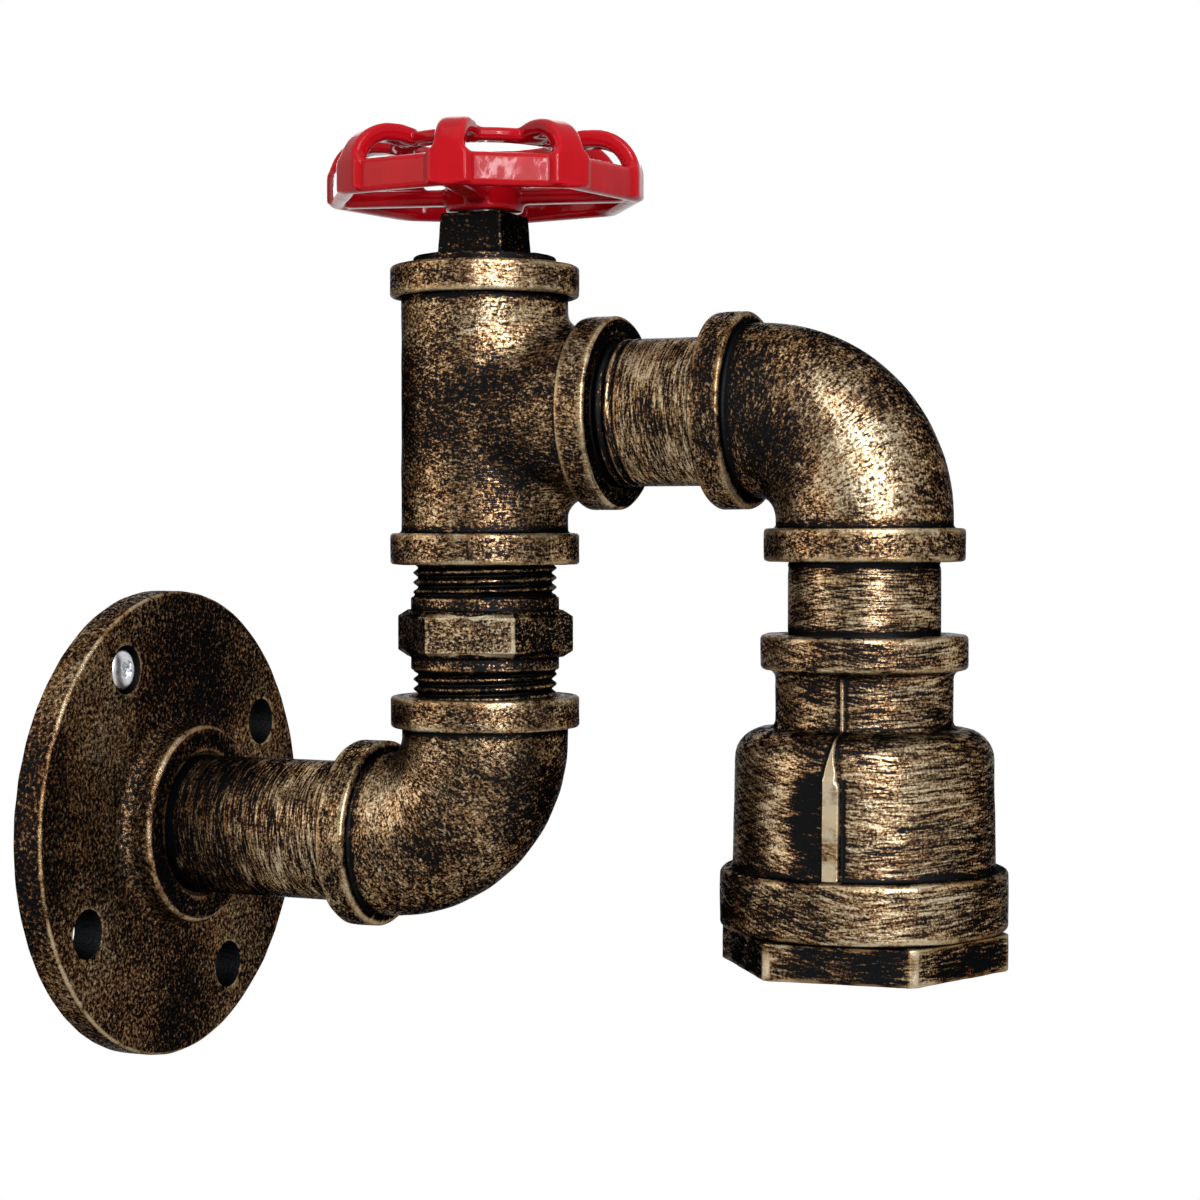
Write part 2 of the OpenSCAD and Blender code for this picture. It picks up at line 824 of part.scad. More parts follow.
module switch_spindle() {
    color([0.70, 0.70, 0.68])
        at_run(0) {
            bar(spindle_r, rotor_z, wheel_z);
            intersection() {
                bar(spindle_r, wheel_z, hub_top);
                translate([-spindle_square / 2, -spindle_square / 2, wheel_z])
                    cube([spindle_square, spindle_square, wheel_hub_h]);
            }
            bar(tip_d / 2, hub_top, nut_top + tip_over);
        }
}

module handwheel() {
    hole = spindle_square + 2 * square_gap;
    color([0.72, 0.03, 0.06])
        at_run(wheel_z)
            rotate([0, 0, rib_turn])
                difference() {
                    union() {
                        bar(wheel_hub_d / 2, 0, wheel_hub_h);
                        wheel_skirt();
                        wheel_ring();
                        for (i = [0 : rib_count - 1])
                            rotate([0, 0, i * 360 / rib_count]) wheel_rib();
                        for (i = [0 : spoke_count - 1])
                            rotate([0, 0, i * 360 / spoke_count]) wheel_spoke();
                    }
                    rotate([0, 0, -rib_turn])
                        translate([-hole / 2, -hole / 2, -over]) cube([hole, hole, wheel_hub_h + 2 * over]);
                }
}

// Skirt with a flat between each pair of ribs and its corners rounded to the wheel's circle
module wheel_skirt() {
    corner = 1 / cos(180 / rib_count);
    translate([0, 0, skirt_lift])
        difference() {
            intersection() {
                cylinder(r = skirt_flats / 2 * corner, h = skirt_h, $fn = rib_count);
                cylinder(r = wheel_r, h = skirt_h);
            }
            translate([0, 0, -over])
                cylinder(r = (skirt_flats / 2 - skirt_wall) * corner, h = skirt_h + 2 * over, $fn = rib_count);
        }
}

module wheel_ring() {
    top = wheel_h - ring_drop;
    rotate_extrude()
        translate([ring_r - ring_w, top - ring_t]) square([ring_w, ring_t]);
}

// Arched rib: up from the skirt, over its rounded shoulder and in to the top ring
module wheel_rib() {
    centre = [wheel_r - rib_shoulder, wheel_h - rib_shoulder];
    ring_top_z = wheel_h - ring_drop;
    seat = ring_r - ring_w / 2;
    rotate([90, 0, 0])
        linear_extrude(rib_w, center = true)
            polygon(concat(
                [[wheel_r, skirt_lift]],
                arc(centre, rib_shoulder, 0, 90, shoulder_steps),
                [[ring_r + ring_drop, wheel_h], [seat, ring_top_z], [seat, ring_top_z - ring_t]],
                arc(centre, rib_shoulder - rib_t, 90, 0, shoulder_steps),
                [[wheel_r - rib_t, skirt_lift]]));
}

module wheel_spoke() {
    from = wheel_hub_d / 4;
    to = skirt_flats / 2 - skirt_wall / 2;
    translate([from, -spoke_w / 2, skirt_lift]) cube([to - from, spoke_w, spoke_t]);
}

module wheel_washer() {
    color([0.75, 0.75, 0.72])
        at_run(hub_top)
            difference() {
                bar(washer_od / 2, 0, washer_t);
                bar(tip_d / 2 + spindle_gap, -over, washer_t + over);
            }
}

module wheel_nut() {
    color([0.75, 0.75, 0.72])
        at_run(washer_top)
            difference() {
                hex_body(nut_af / 2 / cos(180 / hex_sides), nut_af / 2, nut_h);
                bar(tip_d / 2 + thread_gap, -over, nut_h + over);
            }
}

// Supply lead from the wall to the switch
module live_lead() {
    r = lead_d / 2;
    up_x = run_x - post_reach;
    color([0.45, 0.22, 0.10])
        translate([0, -lead_side, 0]) {
            along_x() bar(r, lead_recess, up_x - live_bend);
            translate([up_x, 0, 0]) {
                rotate([0, 0, 180]) bend(live_bend, r);
                bar(r, live_bend, post_foot);
            }
        }
}

// Lead from the switch along the arm and down to the lamp's centre contact
module switched_lead() {
    r = lead_d / 2;
    down_x = run_x + post_reach;
    color([0.12, 0.12, 0.12])
        translate([0, -lead_side, 0]) {
            translate([down_x, 0, 0]) bar(r, arm_z + switch_bend, post_foot);
            translate([down_x, 0, arm_z]) bend(switch_bend, r);
            arm_and_drop(down_x + switch_bend, r);
        }
}

// Lead from the wall past the switch to the lamp's shell
module neutral_lead() {
    r = lead_d / 2;
    color([0.10, 0.25, 0.60])
        translate([0, lead_side, 0]) {
            along_x() bar(r, lead_recess, run_x - neutral_bend);
            translate([run_x, 0, 0]) {
                rotate([0, 0, 180]) bend(neutral_bend, r);
                bar(r, neutral_bend, arm_z - branch_bend);
            }
            translate([run_x, 0, arm_z]) rotate([180, 0, 0]) bend(branch_bend, r);
            arm_and_drop(run_x + branch_bend, r);
        }
}

// Stretch of lead along the arm, round the upper elbow and down to the lampholder
module arm_and_drop(from, r) {
    translate([0, 0, arm_z]) along_x() bar(r, from, drop_x - elbow_bend);
    translate([drop_x, 0, 0]) {
        translate([0, 0, arm_z]) rotate([0, 180, 0]) bend(elbow_bend, r);
        bar(r, block_top, arm_z - elbow_bend);
    }
}

wall_flange();
wall_nipple();
lower_elbow();
hex_nipple();
tee();
arm_nipple();
upper_elbow();
drop_nipple();
bell_reducer();
lamp_ring();
lampholder_body();
lampholder_shell();
centre_contact();
live_terminal();
neutral_terminal();
terminal_screws();
top_plug();
switch_body();
switch_base();
switch_terminals();
switch_rotor();
switch_spindle();
handwheel();
wheel_washer();
wheel_nut();
live_lead();
switched_lead();
neutral_lead();
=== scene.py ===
import math

import bpy
import numpy as np
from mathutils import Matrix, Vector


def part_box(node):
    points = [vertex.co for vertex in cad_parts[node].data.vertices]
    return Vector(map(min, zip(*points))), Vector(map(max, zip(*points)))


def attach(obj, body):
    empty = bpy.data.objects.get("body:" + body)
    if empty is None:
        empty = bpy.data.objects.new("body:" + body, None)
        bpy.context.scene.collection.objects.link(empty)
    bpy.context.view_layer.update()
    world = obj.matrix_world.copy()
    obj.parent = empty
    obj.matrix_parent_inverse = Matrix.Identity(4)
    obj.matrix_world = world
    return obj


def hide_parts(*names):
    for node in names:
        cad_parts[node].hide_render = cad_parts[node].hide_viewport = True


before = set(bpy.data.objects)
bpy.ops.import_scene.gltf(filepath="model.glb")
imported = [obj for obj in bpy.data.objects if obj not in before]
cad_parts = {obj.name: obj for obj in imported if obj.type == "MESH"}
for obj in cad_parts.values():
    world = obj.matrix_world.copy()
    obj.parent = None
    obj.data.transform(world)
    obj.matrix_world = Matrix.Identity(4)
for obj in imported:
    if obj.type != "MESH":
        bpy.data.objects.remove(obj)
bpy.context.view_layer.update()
scene = bpy.context.scene
mm = 0.001
fullTurn = 2 * math.pi
print("frame loaded:", len(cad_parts), "nodes")


# Places, read from the frame in millimetres
def nodeBox(node):
    low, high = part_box(node)
    return np.array(low) / mm, np.array(high) / mm


boxes = {node: nodeBox(node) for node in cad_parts}


def lowOf(node, axis):
    return boxes[node][0]["xyz".index(axis)]


def highOf(node, axis):
    return boxes[node][1]["xyz".index(axis)]


def midOf(node, axis):
    return lowOf(node, axis) / 2 + highOf(node, axis) / 2


runX = midOf("top_plug", "x")
dropX = midOf("drop_nipple", "x")
armZ = midOf("arm_nipple", "z")
pipeR = highOf("drop_nipple", "y")
bandR = highOf("lower_elbow", "y")
elbowTop = highOf("lower_elbow", "z")
elbowFoot = lowOf("upper_elbow", "z")
teeFoot, teeTop = lowOf("tee", "z"), highOf("tee", "z")
teeMouth = highOf("tee", "x")
plugFoot, plugTop = lowOf("top_plug", "z"), highOf("top_plug", "z")
wheelFoot, wheelTop = lowOf("handwheel", "z"), highOf("handwheel", "z")
bellFoot, bellTop = lowOf("bell_reducer", "z"), highOf("bell_reducer", "z")
ringFoot, ringHead = lowOf("lamp_ring", "z"), highOf("lamp_ring", "z")
shellFoot, shellTop = lowOf("lampholder_shell", "z"), highOf("lampholder_shell", "z")
hubFace = highOf("wall_flange", "x")
flangeR = highOf("wall_flange", "y")


# Camera, at the photograph's viewing angle
cameraView = {"place": (285.78, -429.37, 57.49), "tilt": -1.51, "pan": 23.67, "lens": 76.4, "sensor": 36}


def makeCamera():
    data = bpy.data.cameras.new("camera")
    data.lens = cameraView["lens"]
    data.sensor_width = cameraView["sensor"]
    camera = bpy.data.objects.new("camera", data)
    camera.location = [c * mm for c in cameraView["place"]]
    camera.rotation_euler = (math.radians(90 + cameraView["tilt"]), 0, math.radians(cameraView["pan"]))
    scene.collection.objects.link(camera)
    scene.camera = camera


makeCamera()
print("camera placed")


# Outlines and surfaces
def roundedPath(corners, steps=6, closed=True, fill=0.96):
    # each corner (a, b, radius, extras) becomes an arc tangent to both sides
    # arcs that don't fit a side shrink, so that at least a short straight part is left
    spots = np.array([corner[:2] for corner in corners], float)
    ahead = np.roll(spots, -1, 0) - spots
    length = np.hypot(*ahead.T).clip(1e-9)
    ahead /= length[:, None]
    back = -np.roll(ahead, 1, 0)
    half = np.arccos(np.clip((back * ahead).sum(1), -1, 1)) / 2
    cut = np.array([corner[2] for corner in corners]) / np.tan(half.clip(1e-6))
    if not closed:
        cut[[0, -1]] = 0
    fit = np.minimum(1, fill * length / (cut + np.roll(cut, -1)).clip(1e-9))
    cut *= np.minimum(fit, np.roll(fit, 1))
    pieces = []
    for i, corner in enumerate(corners):
        arc = spots[i][None]
        if cut[i] > 0:
            radius = cut[i] * np.tan(half[i])
            middle = (back[i] + ahead[i]) / np.hypot(*(back[i] + ahead[i]))
            centre = spots[i] + middle * radius / np.sin(half[i])
            start, end = spots[i] + back[i] * cut[i] - centre, spots[i] + ahead[i] * cut[i] - centre
            first = np.arctan2(start[1], start[0])
            sweep = (np.arctan2(end[1], end[0]) - first + math.pi) % fullTurn - math.pi
            angle = first + sweep * np.linspace(0, 1, steps + 1)
            arc = centre + radius * np.stack([np.cos(angle), np.sin(angle)], 1)
        pieces.append(np.hstack([arc, np.tile(np.array(corner[3:], float), (len(arc), 1))]))
    return np.concatenate(pieces)


def spaced(points, step, closed=True):
    # extra points along long stretches, so that none is longer than the step
    ends = np.roll(points, -1, 0) if closed else points[1:]
    starts = points if closed else points[:-1]
    counts = np.ceil(np.hypot(*(ends - starts)[:, :2].T) / step).astype(int).clip(1)
    parts = [a + (b - a) * np.linspace(0, 1, n, endpoint=False)[:, None]
             for a, b, n in zip(starts, ends, counts)]
    return np.concatenate(parts if closed else parts + [points[-1:]])


def around(count, start=0.0, spots=1, pull=0.0):
    # angles round a circle, drawn together near evenly spaced spots: a - pull sin(spots a) / spots
    angle = np.linspace(0, fullTurn, count, endpoint=False)
    return math.radians(start) + angle - pull * np.sin(spots * angle) / spots


def turned(height, radius, angle, axis="z", centre=(0, 0, 0)):
    # heights and radii carried round an axis: radius cos a, radius sin a, height
    across = radius * np.cos(angle) + 0 * height
    along = radius * np.sin(angle) + 0 * height
    rise = height + 0 * across
    grid = np.stack([across, along, rise] if axis == "z" else [rise, across, along], -1)
    return grid + np.array(centre, float)


def column(values):
    return np.asarray(values)[:, None]


def columns(profile):
    return [column(values) for values in profile.T]


def lathe(profile, angle, axis="z", centre=(0, 0, 0)):
    # an outline of (height, radius) carried round an axis
    return turned(*columns(profile), angle, axis, centre)


def shaped(profile, factor, angle, centreX):
    # as lathe about an upright axis, with the radius times the factor where the third column is 1
    height, radius, share = columns(profile)
    return turned(height, radius * (1 + share * (factor - 1)), angle, "z", (centreX, 0, 0))


def polar(spots, centreX):
    # distance from an upright axis, and angle round it
    across, along = spots[:, 0] - centreX, spots[:, 1]
    return np.hypot(across, along), np.arctan2(along, across)


def polygonFactor(angle, sides, turn):
    # distance to a regular polygon's side over the distance to its corners
    part = fullTurn / sides
    off = (angle - math.radians(turn)) % part - part / 2
    return math.cos(part / 2) / np.cos(off)


def threadRidge(angle, height, pitch):
    # one thread per turn: 1 on the crest, 0 in the root, with both a little flat
    flat = 0.2
    phase = (height / pitch - angle / fullTurn) % 1
    return np.clip(np.abs(2 * phase - 1) * (1 + 2 * flat) - flat, 0, 1)


def smoothStep(value, low, high):
    # 3 t^2 - 2 t^3 between low and high
    t = np.clip((value - low) / (high - low), 0, 1)
    return t * t * (3 - 2 * t)


def window(value, low, high, soft):
    # 1 between low and high with soft ends
    return smoothStep(value, low - soft, low + soft) * (1 - smoothStep(value, high - soft, high + soft))


def gridFaces(rows, cols, rowsJoined):
    a, b = np.meshgrid(np.arange(rows if rowsJoined else rows - 1), np.arange(cols), indexing="ij")
    c, d = (a + 1) % rows, (b + 1) % cols
    return np.stack([a * cols + b, a * cols + d, c * cols + d, c * cols + b], -1).reshape(-1, 4)


def moveVertices(mesh, spots):
    mesh.vertices.foreach_set("co", (spots * mm).astype(np.float32).ravel())
    mesh.update()


def makePiece(name, patches):
    # each patch is (grid of points in mm, rows joined); open rows get a flat cap at both ends
    spots, loops, sizes, count = [], [], [], 0
    for grid, rowsJoined in patches:
        rows, cols = grid.shape[:2]
        flat = grid.reshape(-1, 3)
        quads = gridFaces(rows, cols, rowsJoined)
        rel = flat - flat.mean(0)
        a, b, c, d = (rel[quads[:, k]] for k in range(4))
        volume = (a * np.cross(b, c)).sum() + (a * np.cross(c, d)).sum()
        caps = [] if rowsJoined else [np.arange(cols)[::-1], (rows - 1) * cols + np.arange(cols)]
        if volume < 0:
            quads = quads[:, ::-1]
            caps = [cap[::-1] for cap in caps]
        loops += [quads.ravel() + count] + [cap + count for cap in caps]
        sizes += [np.full(len(quads), 4)] + [np.array([cols]) for cap in caps]
        spots.append(flat)
        count += len(flat)
    spots, loops, sizes = (np.concatenate(part) for part in (spots, loops, sizes))
    mesh = bpy.data.meshes.new(name)
    mesh.vertices.add(count)
    mesh.vertices.foreach_set("co", (spots * mm).astype(np.float32).ravel())
    mesh.loops.add(len(loops))
    mesh.loops.foreach_set("vertex_index", loops.astype(np.int32))
    mesh.polygons.add(len(sizes))
    mesh.polygons.foreach_set("loop_start", (np.cumsum(sizes) - sizes).astype(np.int32))
    mesh.update(calc_edges=True)
    mesh.validate()
    piece = bpy.data.objects.new(name, mesh)
    scene.collection.objects.link(piece)
    return piece


def settle(piece):
    # works the modifiers into the mesh
    graph = bpy.context.evaluated_depsgraph_get()
    mesh = bpy.data.meshes.new_from_object(piece.evaluated_get(graph))
    piece.modifiers.clear()
    piece.data = mesh


def drill(piece, cutters):
    # takes closed cutting surfaces away from a piece
    tool = makePiece("cutter", cutters)
    cut = piece.modifiers.new("drill", "BOOLEAN")
    cut.operation = "DIFFERENCE"
    cut.solver = "EXACT"
    cut.object = tool
    settle(piece)
    bpy.data.objects.remove(tool)


def vertexArrays(mesh):
    spots = np.empty(len(mesh.vertices) * 3, np.float32)
    mesh.vertices.foreach_get("co", spots)
    normals = np.empty(len(mesh.vertices) * 3, np.float32)
    mesh.vertex_normals.foreach_get("vector", normals)
    return spots.reshape(-1, 3).astype(float) / mm, normals.reshape(-1, 3).astype(float)


skinWaves = {"count": 12, "spread": (0.6, 1.8)}


def roughen(piece, depth, size, seed):
    # cast skin: a mean of sine waves in fixed random directions, always inwards
    count = skinWaves["count"]
    spots, normals = vertexArrays(piece.data)
    draw = np.random.default_rng(seed)
    waves = draw.normal(size=(count, 3))
    pace = draw.uniform(*skinWaves["spread"], (count, 1))
    waves *= fullTurn / size * pace / np.linalg.norm(waves, axis=1, keepdims=True)
    wave = np.sin(spots @ waves.T + draw.uniform(0, fullTurn, count)).mean(1)
    spots -= normals * column(depth * (0.5 + wave).clip(0, 1))
    moveVertices(piece.data, spots)


edgeMarks = {"wear": (0.5, 1.3), "hollow": (0.45, 1.2), "wearSpread": 0.25, "hollowSpread": 0.7,
             "hollowDepth": 0.65, "passes": 6, "sharpAngle": 55}


def bendMarks(mesh):
    # wear and hollow: how fast the normals spread or close along the mesh edges, fading out with distance
    spots, normals = vertexArrays(mesh)
    pairs = np.empty(len(mesh.edges) * 2, np.int32)
    mesh.edges.foreach_get("vertices", pairs)
    a, b = pairs.reshape(-1, 2).T
    step = spots[b] - spots[a]
    length = np.linalg.norm(step, axis=1).clip(1e-4)
    bend = ((normals[b] - normals[a]) * step).sum(1) / length ** 2
    marks = {}
    for label, sign in (("wear", 1), ("hollow", -1)):
        most = np.zeros(len(spots))
        np.maximum.at(most, a, sign * bend)
        np.maximum.at(most, b, sign * bend)
        mark = smoothStep(most, *edgeMarks[label])
        for _ in range(edgeMarks["passes"]):
            np.maximum.at(mark, a, mark[b] - length / edgeMarks[label + "Spread"])
            np.maximum.at(mark, b, mark[a] - length / edgeMarks[label + "Spread"])
        marks[label] = mark
    marks["hollow"] *= edgeMarks["hollowDepth"]
    return marks


def straightBrush(axis, centre=(0, 0, 0)):
    # brush coordinates of a straight piece: along its axis first, then the two ways across
    order = {"x": [0, 1, 2], "z": [2, 0, 1]}[axis]
    return lambda spots: (spots - np.array(centre, float))[:, order]


runBrush = straightBrush("z", (runX, 0, 0))
dropBrush = straightBrush("z", (dropX, 0, 0))


def atLeast(marks, label, amount):
    marks[label] = np.maximum(marks[label], amount)


def addDabs(spots, marks, dabs, centre, core=0.2):
    # soft round dabs, each (x, y, z, reach, depth), full within the core share of the reach
    # depth above 0 leaves black, below 0 adds gold
    # most dabs follow the brush; some on the tee and the upper elbow are painted shade and painted highlight
    for x, y, z, reach, depth in dabs:
        away = np.linalg.norm(spots - np.array(centre, float) - (x, y, z), axis=1)
        marks["hollow"] += depth * (1 - smoothStep(away, core * reach, reach))


def place(piece, body, slot, finish, nodes=(), brush=straightBrush("z"), touch=None):
    # writes the marks and brush coordinates the finish reads; touch may change the marks by place
    mesh = piece.data
    spots = vertexArrays(mesh)[0]
    marks = bendMarks(mesh)
    if touch:
        touch(spots, marks)
    for label, mark in marks.items():
        mesh.attributes.new(label, "FLOAT", "POINT").data.foreach_set("value", mark.astype(np.float32))
    layer = mesh.attributes.new("brush", "FLOAT_VECTOR", "POINT")
    layer.data.foreach_set("vector", (brush(spots) * mm).astype(np.float32).ravel())
    mesh.shade_smooth()
    mesh.set_sharp_from_angle(angle=math.radians(edgeMarks["sharpAngle"]))
    mesh.materials.clear()
    mesh.materials.append(finish)
    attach(piece, body)
    if nodes:
        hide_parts(*nodes)


# Shader maths
class Flow:
    # one value on its way through a shader; sums and products of flows add Math nodes
    def __init__(self, tree, socket):
        self.tree = tree
        self.socket = socket

    def node(self, kind, settings, sockets, out=0):
        made = self.tree.nodes.new(kind)
        for key, value in settings.items():
            if key == "stops":
                self.fillRamp(made.color_ramp, value)
            else:
                setattr(made, key, value)
        for key, value in sockets.items():
            if isinstance(value, Flow):
                self.tree.links.new(value.socket, made.inputs[key])
            else:
                made.inputs[key].default_value = value
        return Flow(self.tree, made.outputs[out])

    def fillRamp(self, ramp, stops):
        for place, colour in stops[2:]:
            ramp.elements.new(place)
        for element, (place, colour) in zip(ramp.elements, sorted(stops)):
            element.position = place
            element.color = (*colour, 1)

    def math(self, operation, a, b):
        return self.node("ShaderNodeMath", {"operation": operation}, {0: a, 1: b})

    def __add__(self, other):
        return self.math("ADD", self, other)

    __radd__ = __add__

    def __sub__(self, other):
        return self.math("SUBTRACT", self, other)

    def __rsub__(self, other):
        return self.math("SUBTRACT", other, self)

    def __mul__(self, other):
        return self.math("MULTIPLY", self, other)

    __rmul__ = __mul__

    def most(self, other):
        return self.math("MAXIMUM", self, other)

    def between(self, low, high, fromValue=0.0, toValue=1.0):
        # soft step from one value to another
        return self.node("ShaderNodeMapRange", {"interpolation_type": "SMOOTHSTEP"},
                         {"Value": self, "From Min": low, "From Max": high,
                          "To Min": fromValue, "To Max": toValue})

    def ramp(self, stops):
        return self.node("ShaderNodeValToRGB", {"stops": stops}, {0: self})

    def turnedTo(self, scale, rotation=(0, 0, 0)):
        turn = tuple(math.radians(r) for r in rotation)
        return self.node("ShaderNodeMapping", {}, {"Vector": self, "Scale": scale, "Rotation": turn})

    def noise(self, scale, detail=3.0, roughness=0.55, warp=0.0):
        return self.node("ShaderNodeTexNoise", {},
                         {"Vector": self, "Scale": scale, "Detail": detail, "Roughness": roughness,
                          "Distortion": warp})

    def cells(self, size, detail=3.0, roughness=0.55, warp=0.0):
        # noise whose cells have a size in mm
        return self.noise(1 / (size * mm), detail, roughness, warp)

    def mark(self, label, out="Fac"):
        return self.node("ShaderNodeAttribute", {"attribute_name": label}, {}, out=out)

    def strokes(self, width, length, tilt):
        # noise drawn out across the first brush coordinate, tilted first
        tilted = self.turnedTo((1, 1, 1), (0, tilt, tilt))
        drawn = tilted.turnedTo((1 / (width * mm), 1 / (length * mm), 1 / (length * mm)))
        return drawn.noise(1, 2, 0.6, 0.3)

    def swayed(self, amount, size):
        # shifts the first coordinate by a slow noise, so that strokes fan out
        drift = self.node("ShaderNodeTexNoise", {},
                          {"Vector": self, "Scale": 1 / (size * mm), "Detail": 1.0}, out=1)
        return self.node("ShaderNodeVectorMath", {"operation": "MULTIPLY_ADD"},
                         {0: drift, 1: (amount * mm, 0, 0), 2: self})

    def mixed(self, a, b):
        # two colours mixed by this value
        return self.node("ShaderNodeMix", {"data_type": "RGBA"}, {0: self, 6: a, 7: b}, out=2)

    def bump(self, depth, strength=1.0):
        return self.node("ShaderNodeBump", {}, {"Height": self, "Distance": depth * mm, "Strength": strength})


def startFinish(name, **constants):
    finish = bpy.data.materials.new(name)
    finish.use_nodes = True
    tree = finish.node_tree
    shader = tree.nodes["Principled BSDF"]
    for key, value in constants.items():
        shader.inputs[key.replace("_", " ")].default_value = value
    coords = Flow(tree, tree.nodes.new("ShaderNodeTexCoord").outputs["Object"])
    return finish, coords, shader


def feed(shader, **flows):
    for key, flow in flows.items():
        flow.tree.links.new(flow.socket, shader.inputs[key.replace("_", " ")])


# Antique bronze: black with a copper dry brush over it
goldTones = [
    (0.42, (0.006, 0.0065, 0.007)),
    (0.47, (0.020, 0.011, 0.008)),
    (0.54, (0.076, 0.043, 0.021)),
    (0.66, (0.198, 0.144, 0.078)),
    (0.84, (0.440, 0.374, 0.258)),
]
copperTones = [
    (0.42, (0.006, 0.0065, 0.007)),
    (0.47, (0.023, 0.011, 0.007)),
    (0.54, (0.088, 0.042, 0.017)),
    (0.66, (0.226, 0.142, 0.066)),
    (0.84, (0.458, 0.370, 0.236)),
]


bronze = {"tint": (0.06, 0.05, 0.045, 1), "gloss": 0.1, "wornSize": 5, "wornPatch": (0.35, 0.6, 0.3, 1),
          "wornTone": 0.80, "ragged": 0.6, "raggedGrain": 0.8, "gold": (0.44, 0.62), "warmth": (0.36, 0.64),
          "goldMetal": 0.8, "blackRough": 0.25, "skinRough": 0.2}


def bronzeFinish(name, look):
    # brush value = cover + grain + patches + strokes + pebbles,
    # drawn to gold on the edges and to black in the hollows
    finish, coords, shader = startFinish(name, Specular_Tint=bronze["tint"],
                                         Specular_IOR_Level=bronze["gloss"])
    grain = coords.cells(look["grainSize"], 4, 0.65, 0.4)
    patches = coords.cells(look["patchSize"], 3, 0.55, 0.5)
    skin = coords.cells(look["skinSize"], 3, 0.6)
    brush = coords.mark("brush", "Vector").swayed(look["sway"], look["swaySize"])
    drag = sum((brush.strokes(*stroke) - 0.5) * look["stroke"] for stroke in look["strokes"])
    paint = 0.5 + look["cover"] + (grain - 0.5) * look["grain"] + (patches - 0.5) * look["patchy"] + drag
    paint = paint + (skin - 0.5) * look["pebble"]
    worn = coords.mark("wear") * look["wear"] * coords.cells(bronze["wornSize"]).between(*bronze["wornPatch"])
    ragged = coords.mark("hollow") * (bronze["ragged"] + grain * bronze["raggedGrain"])
    paint = paint + worn * (bronze["wornTone"] - paint) - ragged * look["hollow"]
    gold = paint.between(*bronze["gold"])
    warmth = brush.strokes(*look["band"]).between(*bronze["warmth"])  # wide strokes, yellow to copper red
    colour = warmth.mixed(paint.ramp(goldTones), paint.ramp(copperTones))
    height = skin * look["skin"] + grain * look["flake"]
    dull = look["rough"] + gold.between(0, 1, bronze["blackRough"], 0)
    feed(shader, Base_Color=colour, Metallic=gold.between(0, 1, 1.0, bronze["goldMetal"]),
         Roughness=dull + (skin - 0.5) * bronze["skinRough"], Normal=height.bump(look["bump"]))
    return finish


# sizes in mm; strokes and band are (width, length, tilt in degrees)
castLook = {"grainSize": 0.5, "patchSize": 9, "skinSize": 1.1, "cover": 0.02, "grain": 1.3, "patchy": 0.5,
            "stroke": 0.6, "strokes": [(0.28, 1.8, 10), (0.34, 2.2, -16)], "band": (3.5, 9.0, 10),
            "sway": 2, "swaySize": 14, "rough": 0.24, "wear": 0.75, "hollow": 0.35,
            "skin": 0.6, "flake": 0.4, "pebble": 0.3, "bump": 0.14}
pipeLook = {"grainSize": 0.45, "patchSize": 8, "skinSize": 1.2, "cover": 0.075, "grain": 1.1, "patchy": 0.6,
            "stroke": 0.75, "strokes": [(0.32, 6.0, 5), (0.27, 3.6, -6), (0.42, 4.6, 9)],
            "band": (2.6, 12.0, 4), "sway": 1.5, "swaySize": 18, "rough": 0.24, "wear": 0.7, "hollow": 0.4,
            "skin": 0.4, "flake": 0.35, "pebble": 0.0, "bump": 0.12}
bellLook = dict(pipeLook, cover=0.04, grain=1.15, stroke=0.72, patchSize=12, patchy=0.65, sway=3, swaySize=26,
                strokes=[(0.42, 7.5, 9), (0.34, 4.4, -6), (0.5, 5.6, -14)])
flangeLook = dict(castLook, cover=0.02, grainSize=0.35, grain=0.7, stroke=0.15, patchSize=20, patchy=0.35,
                  wear=0.9, bump=0.25, skin=1.2, skinSize=0.75, pebble=0.95)
hexLook = dict(castLook, cover=-0.07, grain=1.7, patchSize=5, wear=0.6)
ringLook = dict(bellLook, cover=0.0, patchSize=8, wear=0.9)
blackLook = dict(castLook, cover=-0.2, wear=0.35)

castBronze = bronzeFinish("castBronze", castLook)
hexBronze = bronzeFinish("hexBronze", hexLook)
pipeBronze = bronzeFinish("pipeBronze", pipeLook)
bellBronze = bronzeFinish("bellBronze", bellLook)
ringBronze = bronzeFinish("ringBronze", ringLook)
flangeBronze = bronzeFinish("flangeBronze", flangeLook)
blackIron = bronzeFinish("blackIron", blackLook)


enamel = {"gloss": 0.1, "cloudSize": 9, "peelSize": 1.6, "cloud": 0.5, "edge": 0.25, "hollow": 0.35,
          "rough": 0.08, "roughVary": 0.06, "peel": 0.1, "bump": 0.35, "bumpShare": 0.7,
          "tones": [(0.1, (0.20, 0.001, 0.004)), (0.5, (0.33, 0.002, 0.006)), (0.9, (0.43, 0.004, 0.010))]}


def enamelFinish():
    # shade = slow clouds, lighter on the edges and deeper in the hollows
    finish, coords, shader = startFinish("redEnamel", Specular_IOR_Level=enamel["gloss"])
    cloud = coords.cells(enamel["cloudSize"], 2)
    peel = coords.cells(enamel["peelSize"], 2)
    shade = (cloud - 0.5) * enamel["cloud"] + 0.5
    shade = shade + coords.mark("wear") * enamel["edge"] - coords.mark("hollow") * enamel["hollow"]
    feed(shader, Base_Color=shade.ramp(enamel["tones"]),
         Roughness=enamel["rough"] + (peel - 0.5) * enamel["roughVary"],
         Normal=(peel * enamel["peel"] + cloud).bump(enamel["bump"], enamel["bumpShare"]))
    return finish


plain = {"tonesAt": (0.3, 0.7), "dullSize": 2.5, "metalVary": 0.25, "metalBump": 0.01,
         "cloudSize": 4, "mouldVary": 0.2, "mouldBump": 0.02, "bumpShare": 0.5}


